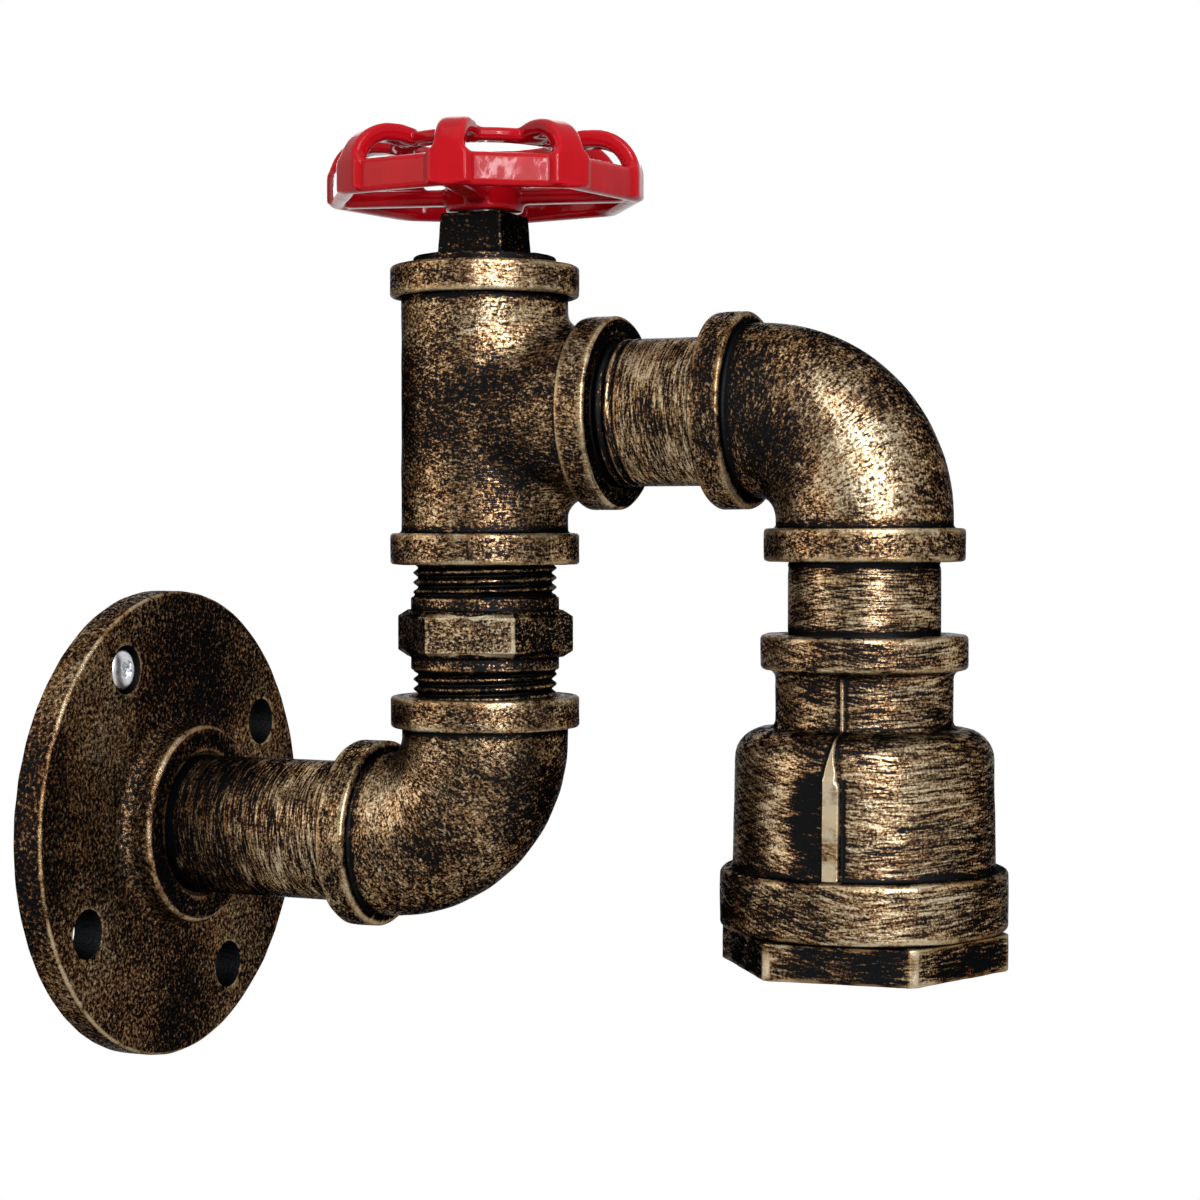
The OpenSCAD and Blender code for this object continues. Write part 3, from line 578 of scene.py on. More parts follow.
def metalFinish(name, dark, bright, roughness, streak):
    # plain metal: half fine streaks, half dull patches
    finish, coords, shader = startFinish(name, Metallic=1.0)
    fine = coords.turnedTo(tuple(1 / (s * mm) for s in streak)).noise(1, 3, 0.6)
    dull = coords.cells(plain["dullSize"])
    shade = fine * 0.5 + dull * 0.5
    feed(shader, Base_Color=shade.ramp(list(zip(plain["tonesAt"], (dark, bright)))),
         Roughness=roughness + (dull - 0.5) * plain["metalVary"],
         Normal=fine.bump(plain["metalBump"], plain["bumpShare"]))
    return finish


def mouldedFinish(name, dark, bright, roughness, grainSize):
    # moulded or glazed stuff: a cloudy colour with a fine skin
    finish, coords, shader = startFinish(name)
    cloud = coords.cells(plain["cloudSize"])
    grain = coords.cells(grainSize)
    feed(shader, Base_Color=cloud.ramp(list(zip(plain["tonesAt"], (dark, bright)))),
         Roughness=roughness + (grain - 0.5) * plain["mouldVary"],
         Normal=grain.bump(plain["mouldBump"], plain["bumpShare"]))
    return finish


redEnamel = enamelFinish()
zinc = metalFinish("zinc", (0.42, 0.43, 0.45), (0.72, 0.73, 0.75), 0.3, (0.2, 2, 2))
brass = metalFinish("brass", (0.50, 0.33, 0.11), (0.76, 0.56, 0.24), 0.3, (2, 2, 0.2))
porcelain = mouldedFinish("porcelain", (0.74, 0.72, 0.66), (0.83, 0.82, 0.77), 0.15, 1.5)
mouldedBlack = mouldedFinish("mouldedBlack", (0.012, 0.012, 0.013), (0.03, 0.03, 0.032), 0.35, 0.6)
mouldedBrown = mouldedFinish("mouldedBrown", (0.07, 0.028, 0.012), (0.14, 0.06, 0.028), 0.35, 0.6)
leadBrown = mouldedFinish("leadBrown", (0.14, 0.05, 0.018), (0.22, 0.085, 0.035), 0.5, 0.5)
leadBlack = mouldedFinish("leadBlack", (0.012, 0.012, 0.013), (0.035, 0.035, 0.037), 0.5, 0.5)
leadBlue = mouldedFinish("leadBlue", (0.02, 0.075, 0.28), (0.04, 0.13, 0.42), 0.5, 0.5)
print("finishes made")


# Fittings: what their mouths, bands and bores share
fitting = {"gap": 0.05, "bandRise": 2.1, "bandWidth": 6.0, "bandEdge": 0.75, "bandFoot": 0.6, "chamfer": 0.9,
           "lipEdge": 0.3, "lipDepth": 0.4, "seatEdge": 0.4, "socketDepth": 13.0, "pipeWall": 2.6,
           "passageStep": 0.2, "skin": 0.14, "skinSize": 9}
socketR = pipeR + fitting["gap"]
bodyR = bandR - fitting["bandRise"]
boreR = pipeR - fitting["pipeWall"]
passageR = boreR + fitting["passageStep"]


def mouthCorners(face, inwards):
    # from the body out over the band, across the mouth's face and down the socket to the passage
    def at(depth):
        return face + inwards * depth
    edge, foot, width = fitting["bandEdge"], fitting["bandFoot"], fitting["bandWidth"]
    chamfer, lip, depth = fitting["chamfer"], fitting["lipEdge"], fitting["socketDepth"]
    return [(at(width), bodyR, foot), (at(width), bandR, edge), (at(0), bandR, edge),
            (at(0), socketR + chamfer, lip), (at(chamfer), socketR, lip),
            (at(depth), socketR, 0), (at(depth), passageR, fitting["seatEdge"])]


# Elbows: a radius carried along one leg, round the bend and out along the other leg
elbow = {"reach": 27.0, "bend": 19.5, "step": 0.9, "sides": 180,
         "lowerDabs": [(13, -5, 8, 14, 0.34), (-2, -14, -1, 10, 0.2), (-15, -14, 8, 11, -0.25),
                       (-4, -15, 16, 11, -0.25)],
         # the strong gold dab low on the bend's right lies in the lamps' highlight and is partly a painted
         # highlight
         "upperDabs": [(-18, -16, -1, 16, 0.3), (-12, -14, -10, 11, 0.22), (6, -14, -12, 14, -0.55),
                       (0, -13, 1, 10, -0.15), (2, -6, 15, 16, 0.25)]}


def elbowGrid(profile, angle):
    # centre of the path at s plus radius (cos a outwards + sin a sideways)
    s, radius = columns(profile)
    leg = elbow["reach"] - elbow["bend"]
    turn = np.clip((s - leg) / elbow["bend"], 0, math.pi / 2)
    beyond = np.maximum(s - leg - elbow["bend"] * math.pi / 2, 0)
    centreX = elbow["reach"] - np.minimum(s, leg) - elbow["bend"] * np.sin(turn)
    centreZ = elbow["bend"] * (1 - np.cos(turn)) + beyond
    out = radius * np.cos(angle)
    return np.stack([centreX - out * np.sin(turn), radius * np.sin(angle), centreZ - out * np.cos(turn)], -1)


def makeElbow(name, node, corner, signs, seed, dabs):
    corner, signs = np.array(corner), np.array(signs)
    length = 2 * (elbow["reach"] - elbow["bend"]) + elbow["bend"] * math.pi / 2
    corners = mouthCorners(0, 1) + mouthCorners(length, -1)[::-1]
    profile = spaced(roundedPath(corners), elbow["step"])
    grid = elbowGrid(profile, around(elbow["sides"])) * signs + corner
    piece = makePiece(name, [(grid, True)])
    roughen(piece, fitting["skin"], fitting["skinSize"], seed)

    def unbent(spots):
        # length along the path, then how far out and sideways from it
        local = (spots - corner) * signs
        inside = np.maximum(elbow["bend"] - local[:, [0, 2]], 0)
        past = np.maximum(local[:, [0, 2]] - elbow["bend"], 0)
        s = elbow["bend"] * np.arctan2(inside[:, 0], inside[:, 1]) + past[:, 1] - past[:, 0]
        return np.stack([s, np.hypot(*inside.T), local[:, 1]], 1)

    def dabbed(spots, marks):
        addDabs(spots, marks, dabs, corner)
    place(piece, "fittings", "cast_bronze", castBronze, [node], unbent, dabbed)


makeElbow("lowerElbow", "lower_elbow", (runX, 0, 0), (-1, -1, 1), 3, elbow["lowerDabs"])
makeElbow("upperElbow", "upper_elbow", (dropX, 0, armZ), (-1, 1, -1), 4, elbow["upperDabs"])
print("elbows made")


# Tee: a turned run, and a branch whose foot flares into it
tee = {"corner": 5.0, "step": 0.9, "sides": 192, "tubeSteps": 14, "flareSteps": 12, "sink": 0.5, "seed": 5,
       "drillClear": 0.25, "drillFrom": 3, "drillTip": 0.001, "drillSides": 96,
       # the crease share and its rise keep a painted highlight along the branch's upper crease
       "creaseHighlight": 0.6, "creaseHighlightRise": (7, 13), "seam": (0.2, 0.9), "lip": 0.6,
       # the first dab, gold at the top right where the lamps' highlight falls, is partly a painted highlight;
       # the last darkens the run's left side, turned from the lamps, as painted shade
       "dabs": [(9, -13, 17, 13, -0.2), (6, -14, 1, 14, 0.28), (13, -12, -9, 10, 0.4),
                (5, -13, -17, 12, 0.09), (-8, -14, 2, 16, 0.25), (-14, -4, 2, 22, 0.2)]}


def teeBranch(angle):
    # mouth and tube turned about X, then an arc of radius e in each upright slice, where e = corner |cos a|
    reach = teeMouth - runX
    cosA, sinA = np.cos(angle), np.sin(angle)
    lean = np.abs(cosA)
    side = np.sign(cosA)
    flare = tee["corner"] * lean
    mouth = spaced(roundedPath(mouthCorners(reach, -1), closed=False)[::-1], tee["step"], closed=False)
    lip = lathe(mouth, angle, "x")[..., [0, 2, 1]]
    start = bodyR * lean + flare
    part = column(np.linspace(0, 1, tee["tubeSteps"]))[1:]
    tubeX = lip[-1, :, 0] * (1 - part) + start * part
    tube = np.stack([tubeX, bodyR * sinA + 0 * tubeX, bodyR * cosA + 0 * tubeX], -1)
    roll = column(np.linspace(0, math.pi / 2, tee["flareSteps"])[1:])
    flareX = start - flare * np.sin(roll)
    flareZ = side * (bodyR * lean + flare * (1 - np.cos(roll)))
    foot = np.stack([flareX, bodyR * sinA + 0 * flareX, flareZ], -1)
    sunk = foot[-1:] * np.array([1 - tee["sink"] / bodyR, 1 - tee["sink"] / bodyR, 1])
    inner = np.stack([passageR * lean, passageR * sinA, passageR * cosA], -1)[None]
    return np.concatenate([lip, tube, foot, sunk, inner])


def makeTee():
    # the run is an outline turned about Z and drilled towards the branch
    corners = mouthCorners(teeFoot - armZ, 1) + mouthCorners(teeTop - armZ, -1)[::-1]
    profile = spaced(roundedPath(corners), tee["step"])
    angle = around(tee["sides"])
    run = makePiece("teeRun", [(lathe(profile, angle), True)])
    near, far = tee["drillFrom"], bodyR + tee["drillFrom"]
    tip, holeR = tee["drillTip"], passageR + tee["drillClear"]
    hole = np.array([[near, tip], [near, holeR], [far, holeR], [far, tip]])
    drill(run, [(lathe(hole, around(tee["drillSides"]), "x"), False)])
    branch = makePiece("teeBranch", [(teeBranch(angle), True)])

    def dabbed(spots, marks):
        addDabs(spots, marks, tee["dabs"], (runX, 0, armZ))

    def seam(spots, marks):
        # no worn line where the branch dips into the run, but for a painted highlight along the crease above
        depth = polar(spots, runX)[0] - bodyR
        rise = spots[:, 2] - armZ
        beside = 1 - smoothStep(depth, *tee["seam"])
        # above the arm the crease keeps part of its worn line as a painted highlight
        marks["wear"] *= 1 - beside * (1 - tee["creaseHighlight"] * smoothStep(rise, *tee["creaseHighlightRise"]))
        dabbed(spots, marks)
        lip = spots[:, 0] > teeMouth - fitting["lipDepth"]
        lip = lip * (np.hypot(spots[:, 1], rise) < bandR - fitting["bandEdge"])
        atLeast(marks, "hollow", tee["lip"] * lip)

    for piece, touch in ((run, dabbed), (branch, seam)):
        spots = vertexArrays(piece.data)[0] + np.array([runX, 0, armZ])
        moveVertices(piece.data, spots)
        roughen(piece, fitting["skin"], fitting["skinSize"], tee["seed"])
        place(piece, "fittings", "cast_bronze", castBronze, ["tee"], runBrush, touch)


makeTee()
print("tee made")


# Nipples: pipe with a helical thread at its ends
pipeThread = {"pitch": 1.814, "depth": 0.3, "fade": 1.6, "fine": 0.14, "coarse": 1.0, "sides": 144,
              "edgeWear": 0.3, "crestWear": 0.9, "crest": (0.7, 1), "edgeDark": 0.2, "rootDark": 0.35,
              "mouthDark": 0.9, "mouthRing": (0.5, 1.1), "mouthCore": 0.2}


def threadShare(height, threads):
    # how far the thread is cut at each height, fading in and out at its ends
    fade = pipeThread["fade"]
    shares = [smoothStep(height, a - fade, a + fade) * (1 - smoothStep(height, b - fade, b))
              for a, b in threads]
    return np.max(shares, axis=0)


def nippleGrid(low, high, threads, axis, centre):
    # radius = pipe radius less the thread's depth in its root; the bore is plain
    fineParts = [np.arange(a, b, pipeThread["fine"]) for a, b in threads]
    height = np.unique(np.concatenate([np.arange(low, high, pipeThread["coarse"]), [high]] + fineParts))
    angle = around(pipeThread["sides"])
    ridge = threadRidge(angle, column(height), pipeThread["pitch"])
    cut = pipeThread["depth"] * column(threadShare(height, threads)) * (1 - ridge)
    outer = turned(column(height), pipeR - cut, angle, axis, centre)
    bore = turned(column(height[[0, -1]][::-1]), boreR, angle, axis, centre)
    return np.concatenate([outer, bore])


def makeNipple(name, node, axis, threads, mouths):
    # threads are (from, to) along the axis, mouths (place, reach of the dark, depth of the dark)
    low, high = boxes[node]
    along = "xyz".index(axis)
    middle = (low + high) / 2
    middle[along] = 0
    piece = makePiece(name, [(nippleGrid(low[along], high[along], threads, axis, middle), True)])
    brush = straightBrush(axis, middle)

    def threadMarks(spots, marks):
        # worn crests, dark roots and a dark ring at each mouth
        height, across, side = brush(spots).T
        ridge = threadRidge(np.arctan2(side, across), height, pipeThread["pitch"])
        share = threadShare(height, threads)
        crest = smoothStep(ridge, *pipeThread["crest"])
        marks["wear"] *= pipeThread["edgeWear"]
        atLeast(marks, "wear", pipeThread["crestWear"] * share * crest)
        marks["hollow"] *= pipeThread["edgeDark"]
        marks["hollow"] += pipeThread["rootDark"] * share * (1 - ridge)
        for mouth, reach, depth in mouths:
            away = np.abs(height - mouth)
            ring = 1 - smoothStep(away, *pipeThread["mouthRing"])
            fade = 1 - smoothStep(away, pipeThread["mouthCore"] * reach, reach)
            marks["hollow"] += pipeThread["mouthDark"] * ring + depth * fade
    place(piece, "fittings", "pipe_bronze", pipeBronze, [node], brush, threadMarks)


# each thread starts inside one mouth and runs out a little way past it
elbowMouth = runX - elbow["reach"]
upperMouth = dropX - elbow["reach"]
makeNipple("wallNipple", "wall_nipple", "x", [(elbowMouth - 0.8, elbowMouth + 3)],
           [(hubFace, 36, 0.4), (elbowMouth, 2, 0.1)])
makeNipple("armNipple", "arm_nipple", "x",
           [(teeMouth - 3, teeMouth + 5.2), (upperMouth - 0.8, upperMouth + 3)],
           [(teeMouth, 5, 0.2), (upperMouth, 2, 0.1)])
makeNipple("dropNipple", "drop_nipple", "z",
           [(bellTop - 3, bellTop + 0.8), (elbowFoot - 1.2, elbowFoot + 3)],
           [(bellTop, 3, 0.15), (elbowFoot, 4, 0.15)])
print("nipples made")


# Hex nipple: threads, two collars and a hexagon with its corners turned down
hexNipple = {"lift": 7.3, "height": 8.8, "flatR": 14.5, "turn": 15, "bevel": 1.2, "slant": 1.9,
             "collarH": 2.4, "collarR": 13.9, "thread": 10.0, "threadDepth": 0.85, "threadFade": 0.8,
             "frame": 0.8, "frameWear": 1.6, "gold": 0.42, "threadDull": 0.4,
             "collarEdge": 0.35, "footEdge": 0.2, "endEdge": 0.15, "endShare": 0.6, "bevelEdge": 0.3,
             "faceIn": 0.2, "faceSoft": (-0.3, 0.1), "frameCore": 0.6, "threadIn": 0.3,
             "sides": 192, "pull": 0.75, "fine": 0.16}


def makeHexNipple():
    # radius = turned outline times the hexagon's factor where it applies, less the thread's depth
    foot = elbowTop + hexNipple["lift"]
    top = foot + hexNipple["height"]
    collarR, bevel = hexNipple["collarR"], hexNipple["bevel"]
    cornerR = hexNipple["flatR"] / math.cos(math.pi / 6)
    endR = cornerR - hexNipple["slant"]
    low, high = elbowTop - hexNipple["thread"], teeFoot + hexNipple["thread"]
    collarLow, collarHigh = foot - hexNipple["collarH"], top + hexNipple["collarH"]
    # height, radius, rounding and share of the hexagon at each corner
    collar = (collarR, hexNipple["collarEdge"], 0)
    under = (collarR, hexNipple["footEdge"], 0)
    end = (endR, hexNipple["endEdge"], hexNipple["endShare"])
    side = (cornerR, hexNipple["bevelEdge"], 1)
    outline = roundedPath([
        (low, pipeR, 0, 0), (collarLow, pipeR, 0, 0), (collarLow, *collar), (foot, *under), (foot, *end),
        (foot + bevel, *side), (top - bevel, *side), (top, *end), (top, *under), (collarHigh, *collar),
        (collarHigh, pipeR, 0, 0), (high, pipeR, 0, 0), (high, boreR, 0, 0), (low, boreR, 0, 0)])
    profile = np.concatenate([spaced(outline[:-2], hexNipple["fine"], closed=False), outline[-2:]])
    angle = around(hexNipple["sides"], hexNipple["turn"], 6, hexNipple["pull"])
    height, radius, hexed = columns(profile)
    fromCollar = np.minimum(abs(height - collarLow), abs(height - collarHigh))
    threaded = (radius == pipeR) * smoothStep(fromCollar, 0, hexNipple["threadFade"])
    ridge = threadRidge(angle, height, pipeThread["pitch"])
    radius = radius * (1 + hexed * (polygonFactor(angle, 6, hexNipple["turn"]) - 1))
    radius = radius - hexNipple["threadDepth"] * threaded * (1 - ridge)
    piece = makePiece("hexNipple", [(turned(height, radius, angle, "z", (runX, 0, 0)), True)])

    def framed(spots, marks):
        # every third face is gold with a worn frame, the others stay dark
        part = fullTurn / 6
        reach, turn = polar(spots, runX)
        turn = turn - math.radians(hexNipple["turn"])
        count = np.floor(turn / part) % 3
        across = hexNipple["flatR"] * np.abs(np.tan(turn % part - part / 2))
        border = hexNipple["flatR"] * math.tan(part / 2) - across
        border = np.minimum(border, np.minimum(spots[:, 2] - foot - bevel / 2, top - bevel / 2 - spots[:, 2]))
        face = (count == 1) * (reach > hexNipple["flatR"] - hexNipple["faceIn"])
        face = face * smoothStep(border, *hexNipple["faceSoft"])
        width = hexNipple["frame"]
        edge = face * (1 - smoothStep(border, width * hexNipple["frameCore"], width))
        atLeast(marks, "wear", hexNipple["frameWear"] * edge)
        marks["wear"] *= 1 - hexNipple["threadDull"] * (reach < collarR - hexNipple["threadIn"])
        marks["hollow"] = marks["hollow"] * (1 - face) - hexNipple["gold"] * face
    place(piece, "fittings", "cast_bronze", hexBronze, ["hex_nipple"], runBrush, framed)


makeHexNipple()
print("hex nipple made")


# Wall flange: a turned plate and hub with four drilled holes
flange = {"plate": 6.2, "frontEdge": 0.8, "backEdge": 0.4, "hubR": 19.5, "hubEdge": 0.9, "hubFoot": 2.2,
          "holeR": 4.5, "holeCircle": 36.0, "holeTurn": 30, "holes": 4, "holeEdge": 0.3,
          "holeDraft": 0.35, "holeSides": 64, "drillTip": 0.01, "drillOver": 1, "lineW": 0.6, "lineCore": 0.2,
          "lineZone": 2, "holeMark": 0.15, "lipDark": 0.35, "step": 1.1, "sides": 240, "seed": 6,
          "dabs": [(6, -30, -2, 24, -0.25), (6, 8, 30, 32, 0.35), (6, 2, -36, 24, 0.25), (2, -46, 2, 26, 0.4),
                   (11, -20, 4, 11, 0.4)]}


def holeSpot(turn):
    return flange["holeCircle"] * np.array([0, math.cos(turn), math.sin(turn)])


def holeCutter(turn):
    # a bore that narrows towards the wall, with a small flare at the plate's front face
    r, edge, front = flange["holeR"], flange["holeEdge"], flange["plate"]
    tip, over = flange["drillTip"], flange["drillOver"]
    profile = np.array([[-over, tip], [-over, r - flange["holeDraft"]], [front - edge, r],
                        [front + over, r + edge + over], [front + over, tip]])
    return lathe(profile, around(flange["holeSides"]), "x", holeSpot(turn)), False


def makeFlange():
    # an outline turned about X, less a bore at each hole
    chamfer, lip = fitting["chamfer"], fitting["lipEdge"]
    outline = roundedPath([
        (0, flangeR, flange["backEdge"]), (flange["plate"], flangeR, flange["frontEdge"]),
        (flange["plate"], flange["hubR"], flange["hubFoot"]), (hubFace, flange["hubR"], flange["hubEdge"]),
        (hubFace, socketR + chamfer, lip), (hubFace - chamfer, socketR, lip), (0, socketR, lip)])
    profile = spaced(outline, flange["step"])
    piece = makePiece("wallFlange", [(lathe(profile, around(flange["sides"]), "x"), True)])
    turns = math.radians(flange["holeTurn"]) + np.arange(flange["holes"]) * fullTurn / flange["holes"]
    drill(piece, [holeCutter(turn) for turn in turns])
    roughen(piece, fitting["skin"], fitting["skinSize"], flange["seed"])

    def flangeMarks(spots, marks):
        # bare dark walls inside the holes, a narrow worn line round the front edge and a dark mouth
        for turn in turns:
            away = np.hypot(*(spots - holeSpot(turn))[:, 1:].T)
            inside = away < flange["holeR"] + flange["holeMark"]
            atLeast(marks, "hollow", inside * 1.0)
            marks["wear"] *= ~inside
        reach = np.hypot(spots[:, 1], spots[:, 2])
        inset = flange["frontEdge"] * (1 - math.sqrt(0.5))
        rim = np.hypot(spots[:, 0] - flange["plate"] + inset, reach - flangeR + inset)
        line = 1 - smoothStep(rim, flange["lineCore"], flange["lineW"])
        marks["wear"] *= np.where(reach > flangeR - flange["lineZone"], line, 1)
        addDabs(spots, marks, flange["dabs"], (0, 0, 0))
        mouth = (spots[:, 0] > hubFace - fitting["lipDepth"]) * (reach < flange["hubR"] - flange["hubEdge"])
        atLeast(marks, "hollow", flange["lipDark"] * mouth)
    place(piece, "fittings", "flange_bronze", flangeBronze, ["wall_flange"], straightBrush("x"), flangeMarks)


makeFlange()
print("flange made")


# Screw in the flange's upper left hole: raised head with a cross recess
screw = {"headR": 3.9, "rise": 1.5, "sunk": 0.9, "shankR": 2.0, "slotW": 1.0, "slotL": 4.0, "slotDepth": 1.2,
         "slotTurn": 0.6, "slotWall": (0.15, 0.25), "slotFade": 0.55, "roundness": 1.1, "neck": 2.2,
         "shankFoot": 0.3, "hole": 1, "tip": 0.004, "rows": 48, "sides": 144}


def makeScrew():
    # head height = rise times sqrt(1 - (r / head)^2) to the power of roundness,
    # less a cross-shaped recess with soft walls
    turn = math.radians(flange["holeTurn"]) + screw["hole"] * fullTurn / flange["holes"]
    spot = holeSpot(turn)
    spot[1] -= flange["holeR"] - screw["headR"]
    angle = around(screw["sides"])
    radius = column(np.linspace(1, screw["tip"], screw["rows"])) * screw["headR"]
    dome = screw["rise"] * np.sqrt(np.clip(1 - (radius / screw["headR"]) ** 2, 0, 1)) ** screw["roundness"]
    slotAngle = angle + screw["slotTurn"]
    u, v = np.abs(radius * np.cos(slotAngle)), np.abs(radius * np.sin(slotAngle))
    half, reach = screw["slotW"] / 2, screw["slotL"] / 2
    wallIn, wallOut = screw["slotWall"]

    def notch(across, along):
        wall = 1 - smoothStep(across, half - wallIn, half + wallOut)
        return wall * (1 - smoothStep(along, reach * screw["slotFade"], reach))
    cut = np.maximum(notch(u, v), notch(v, u))
    base = flange["plate"] - screw["sunk"]
    head = turned(base + dome - screw["slotDepth"] * cut, radius, angle, "x", spot)
    under = np.array([[screw["shankFoot"], screw["shankR"]], [base - screw["neck"], screw["shankR"]],
                      [base, screw["headR"]]])
    below = lathe(under, angle, "x", spot)
    piece = makePiece("flangeScrew", [(np.concatenate([below, head[1:]]), False)])
    place(piece, "fittings", "zinc", zinc)


makeScrew()
print("screw made")


# Top plug: threaded skirt, round shoulder and a drawn square head with soft edges
plug = {"rise": 1.7, "squareHalf": 6.75, "draw": 0.5, "softness": 26, "headEdge": 0.6, "foot": 0.7,
        "shoulderEdge": 0.5, "neckR": 4.95, "lid": 3.0, "skirtR": 10.25, "step": 0.35, "sides": 192,
        "pull": 0.6, "skin": 0.12, "skinSize": 5, "seed": 7}


def makePlug():
    # radius = half side over the n-th root of |cos|^n + |sin|^n on the head, a circle elsewhere
    shoulder = teeTop + plug["rise"]
    half, headHalf = plug["squareHalf"], plug["squareHalf"] - plug["draw"]
    outline = roundedPath([
        (plugFoot, pipeR, 0, 0), (shoulder, pipeR, plug["shoulderEdge"], 0),
        (shoulder, half, plug["foot"], 1), (plugTop, headHalf, plug["headEdge"], 1),
        (plugTop, plug["neckR"], 0, 0), (teeTop - plug["lid"], plug["neckR"], 0, 0),
        (teeTop - plug["lid"], plug["skirtR"], 0, 0),
        (plugFoot, plug["skirtR"], 0, 0)])
    profile = spaced(outline, plug["step"])
    angle = around(plug["sides"], 45, 4, plug["pull"])
    n = plug["softness"]
    factor = (np.abs(np.cos(angle)) ** n + np.abs(np.sin(angle)) ** n) ** (-1 / n)
    piece = makePiece("topPlug", [(shaped(profile, factor, angle, runX), True)])
    roughen(piece, plug["skin"], plug["skinSize"], plug["seed"])
    place(piece, "fittings", "black_iron", blackIron, ["top_plug"])


makePlug()
print("plug made")


# Bell reducer: a turned bell with a cast rib on each side and a parting line above it
bell = {"topR": 18.3, "topBand": 6.3, "neck": 10.2, "shoulder": 6.5, "bellR": 23.2, "draw": 0.5, "lowR": 25.4,
        "lowBand": 10.5, "edge": 0.9, "lowEdge": 1.3, "fillet": 1.6, "socketR": 21.0, "hollowR": 20.0,
        "seatRise": 2.7, "seatClear": 0.1, "ribTurn": -86, "ribW": 3.1, "ribRise": 1.1, "ribSlope": 1.3,
        "slopeFrom": 0.2, "ribSink": 0.5, "ribEnd": 0.4, "soft": 0.3, "taperFrom": 2, "ridgeLeft": 1.3,
        "ridgeRight": 0.9, "ridgeInset": 0.4, "ridgeRise": 0.8, "ridgeEnd": 1, "lineW": 0.7, "lineRise": 0.3,
        "lineSoft": 0.25, "lineEnd": 0.6, "lineInset": 1, "ribWear": 1.8, "ridgeWear": 1.5, "lineWear": 1.1,
        "rimHighlight": 0.9, "rim": (-0.8, -0.2), "rimSoft": 0.25, "bareW": 5.5, "bareDark": 0.75,
        "bareFade": (-2, 1.5), "bareRise": 0.5, "bareSlope": 0.2, "bareSoft": 1.5, "darkSoft": 0.25,
        "edgeLine": (0.2, 0.9), "jointW": 16, "joint": (-0.1, 0.7), "bandShadeLeft": 0.2, "bandHighlightRight": -0.25,
        "bandFrom": (-12, 8), "bandTo": (14, 30), "step": 0.6, "sides": 320, "pull": 0.85, "seed": 8}


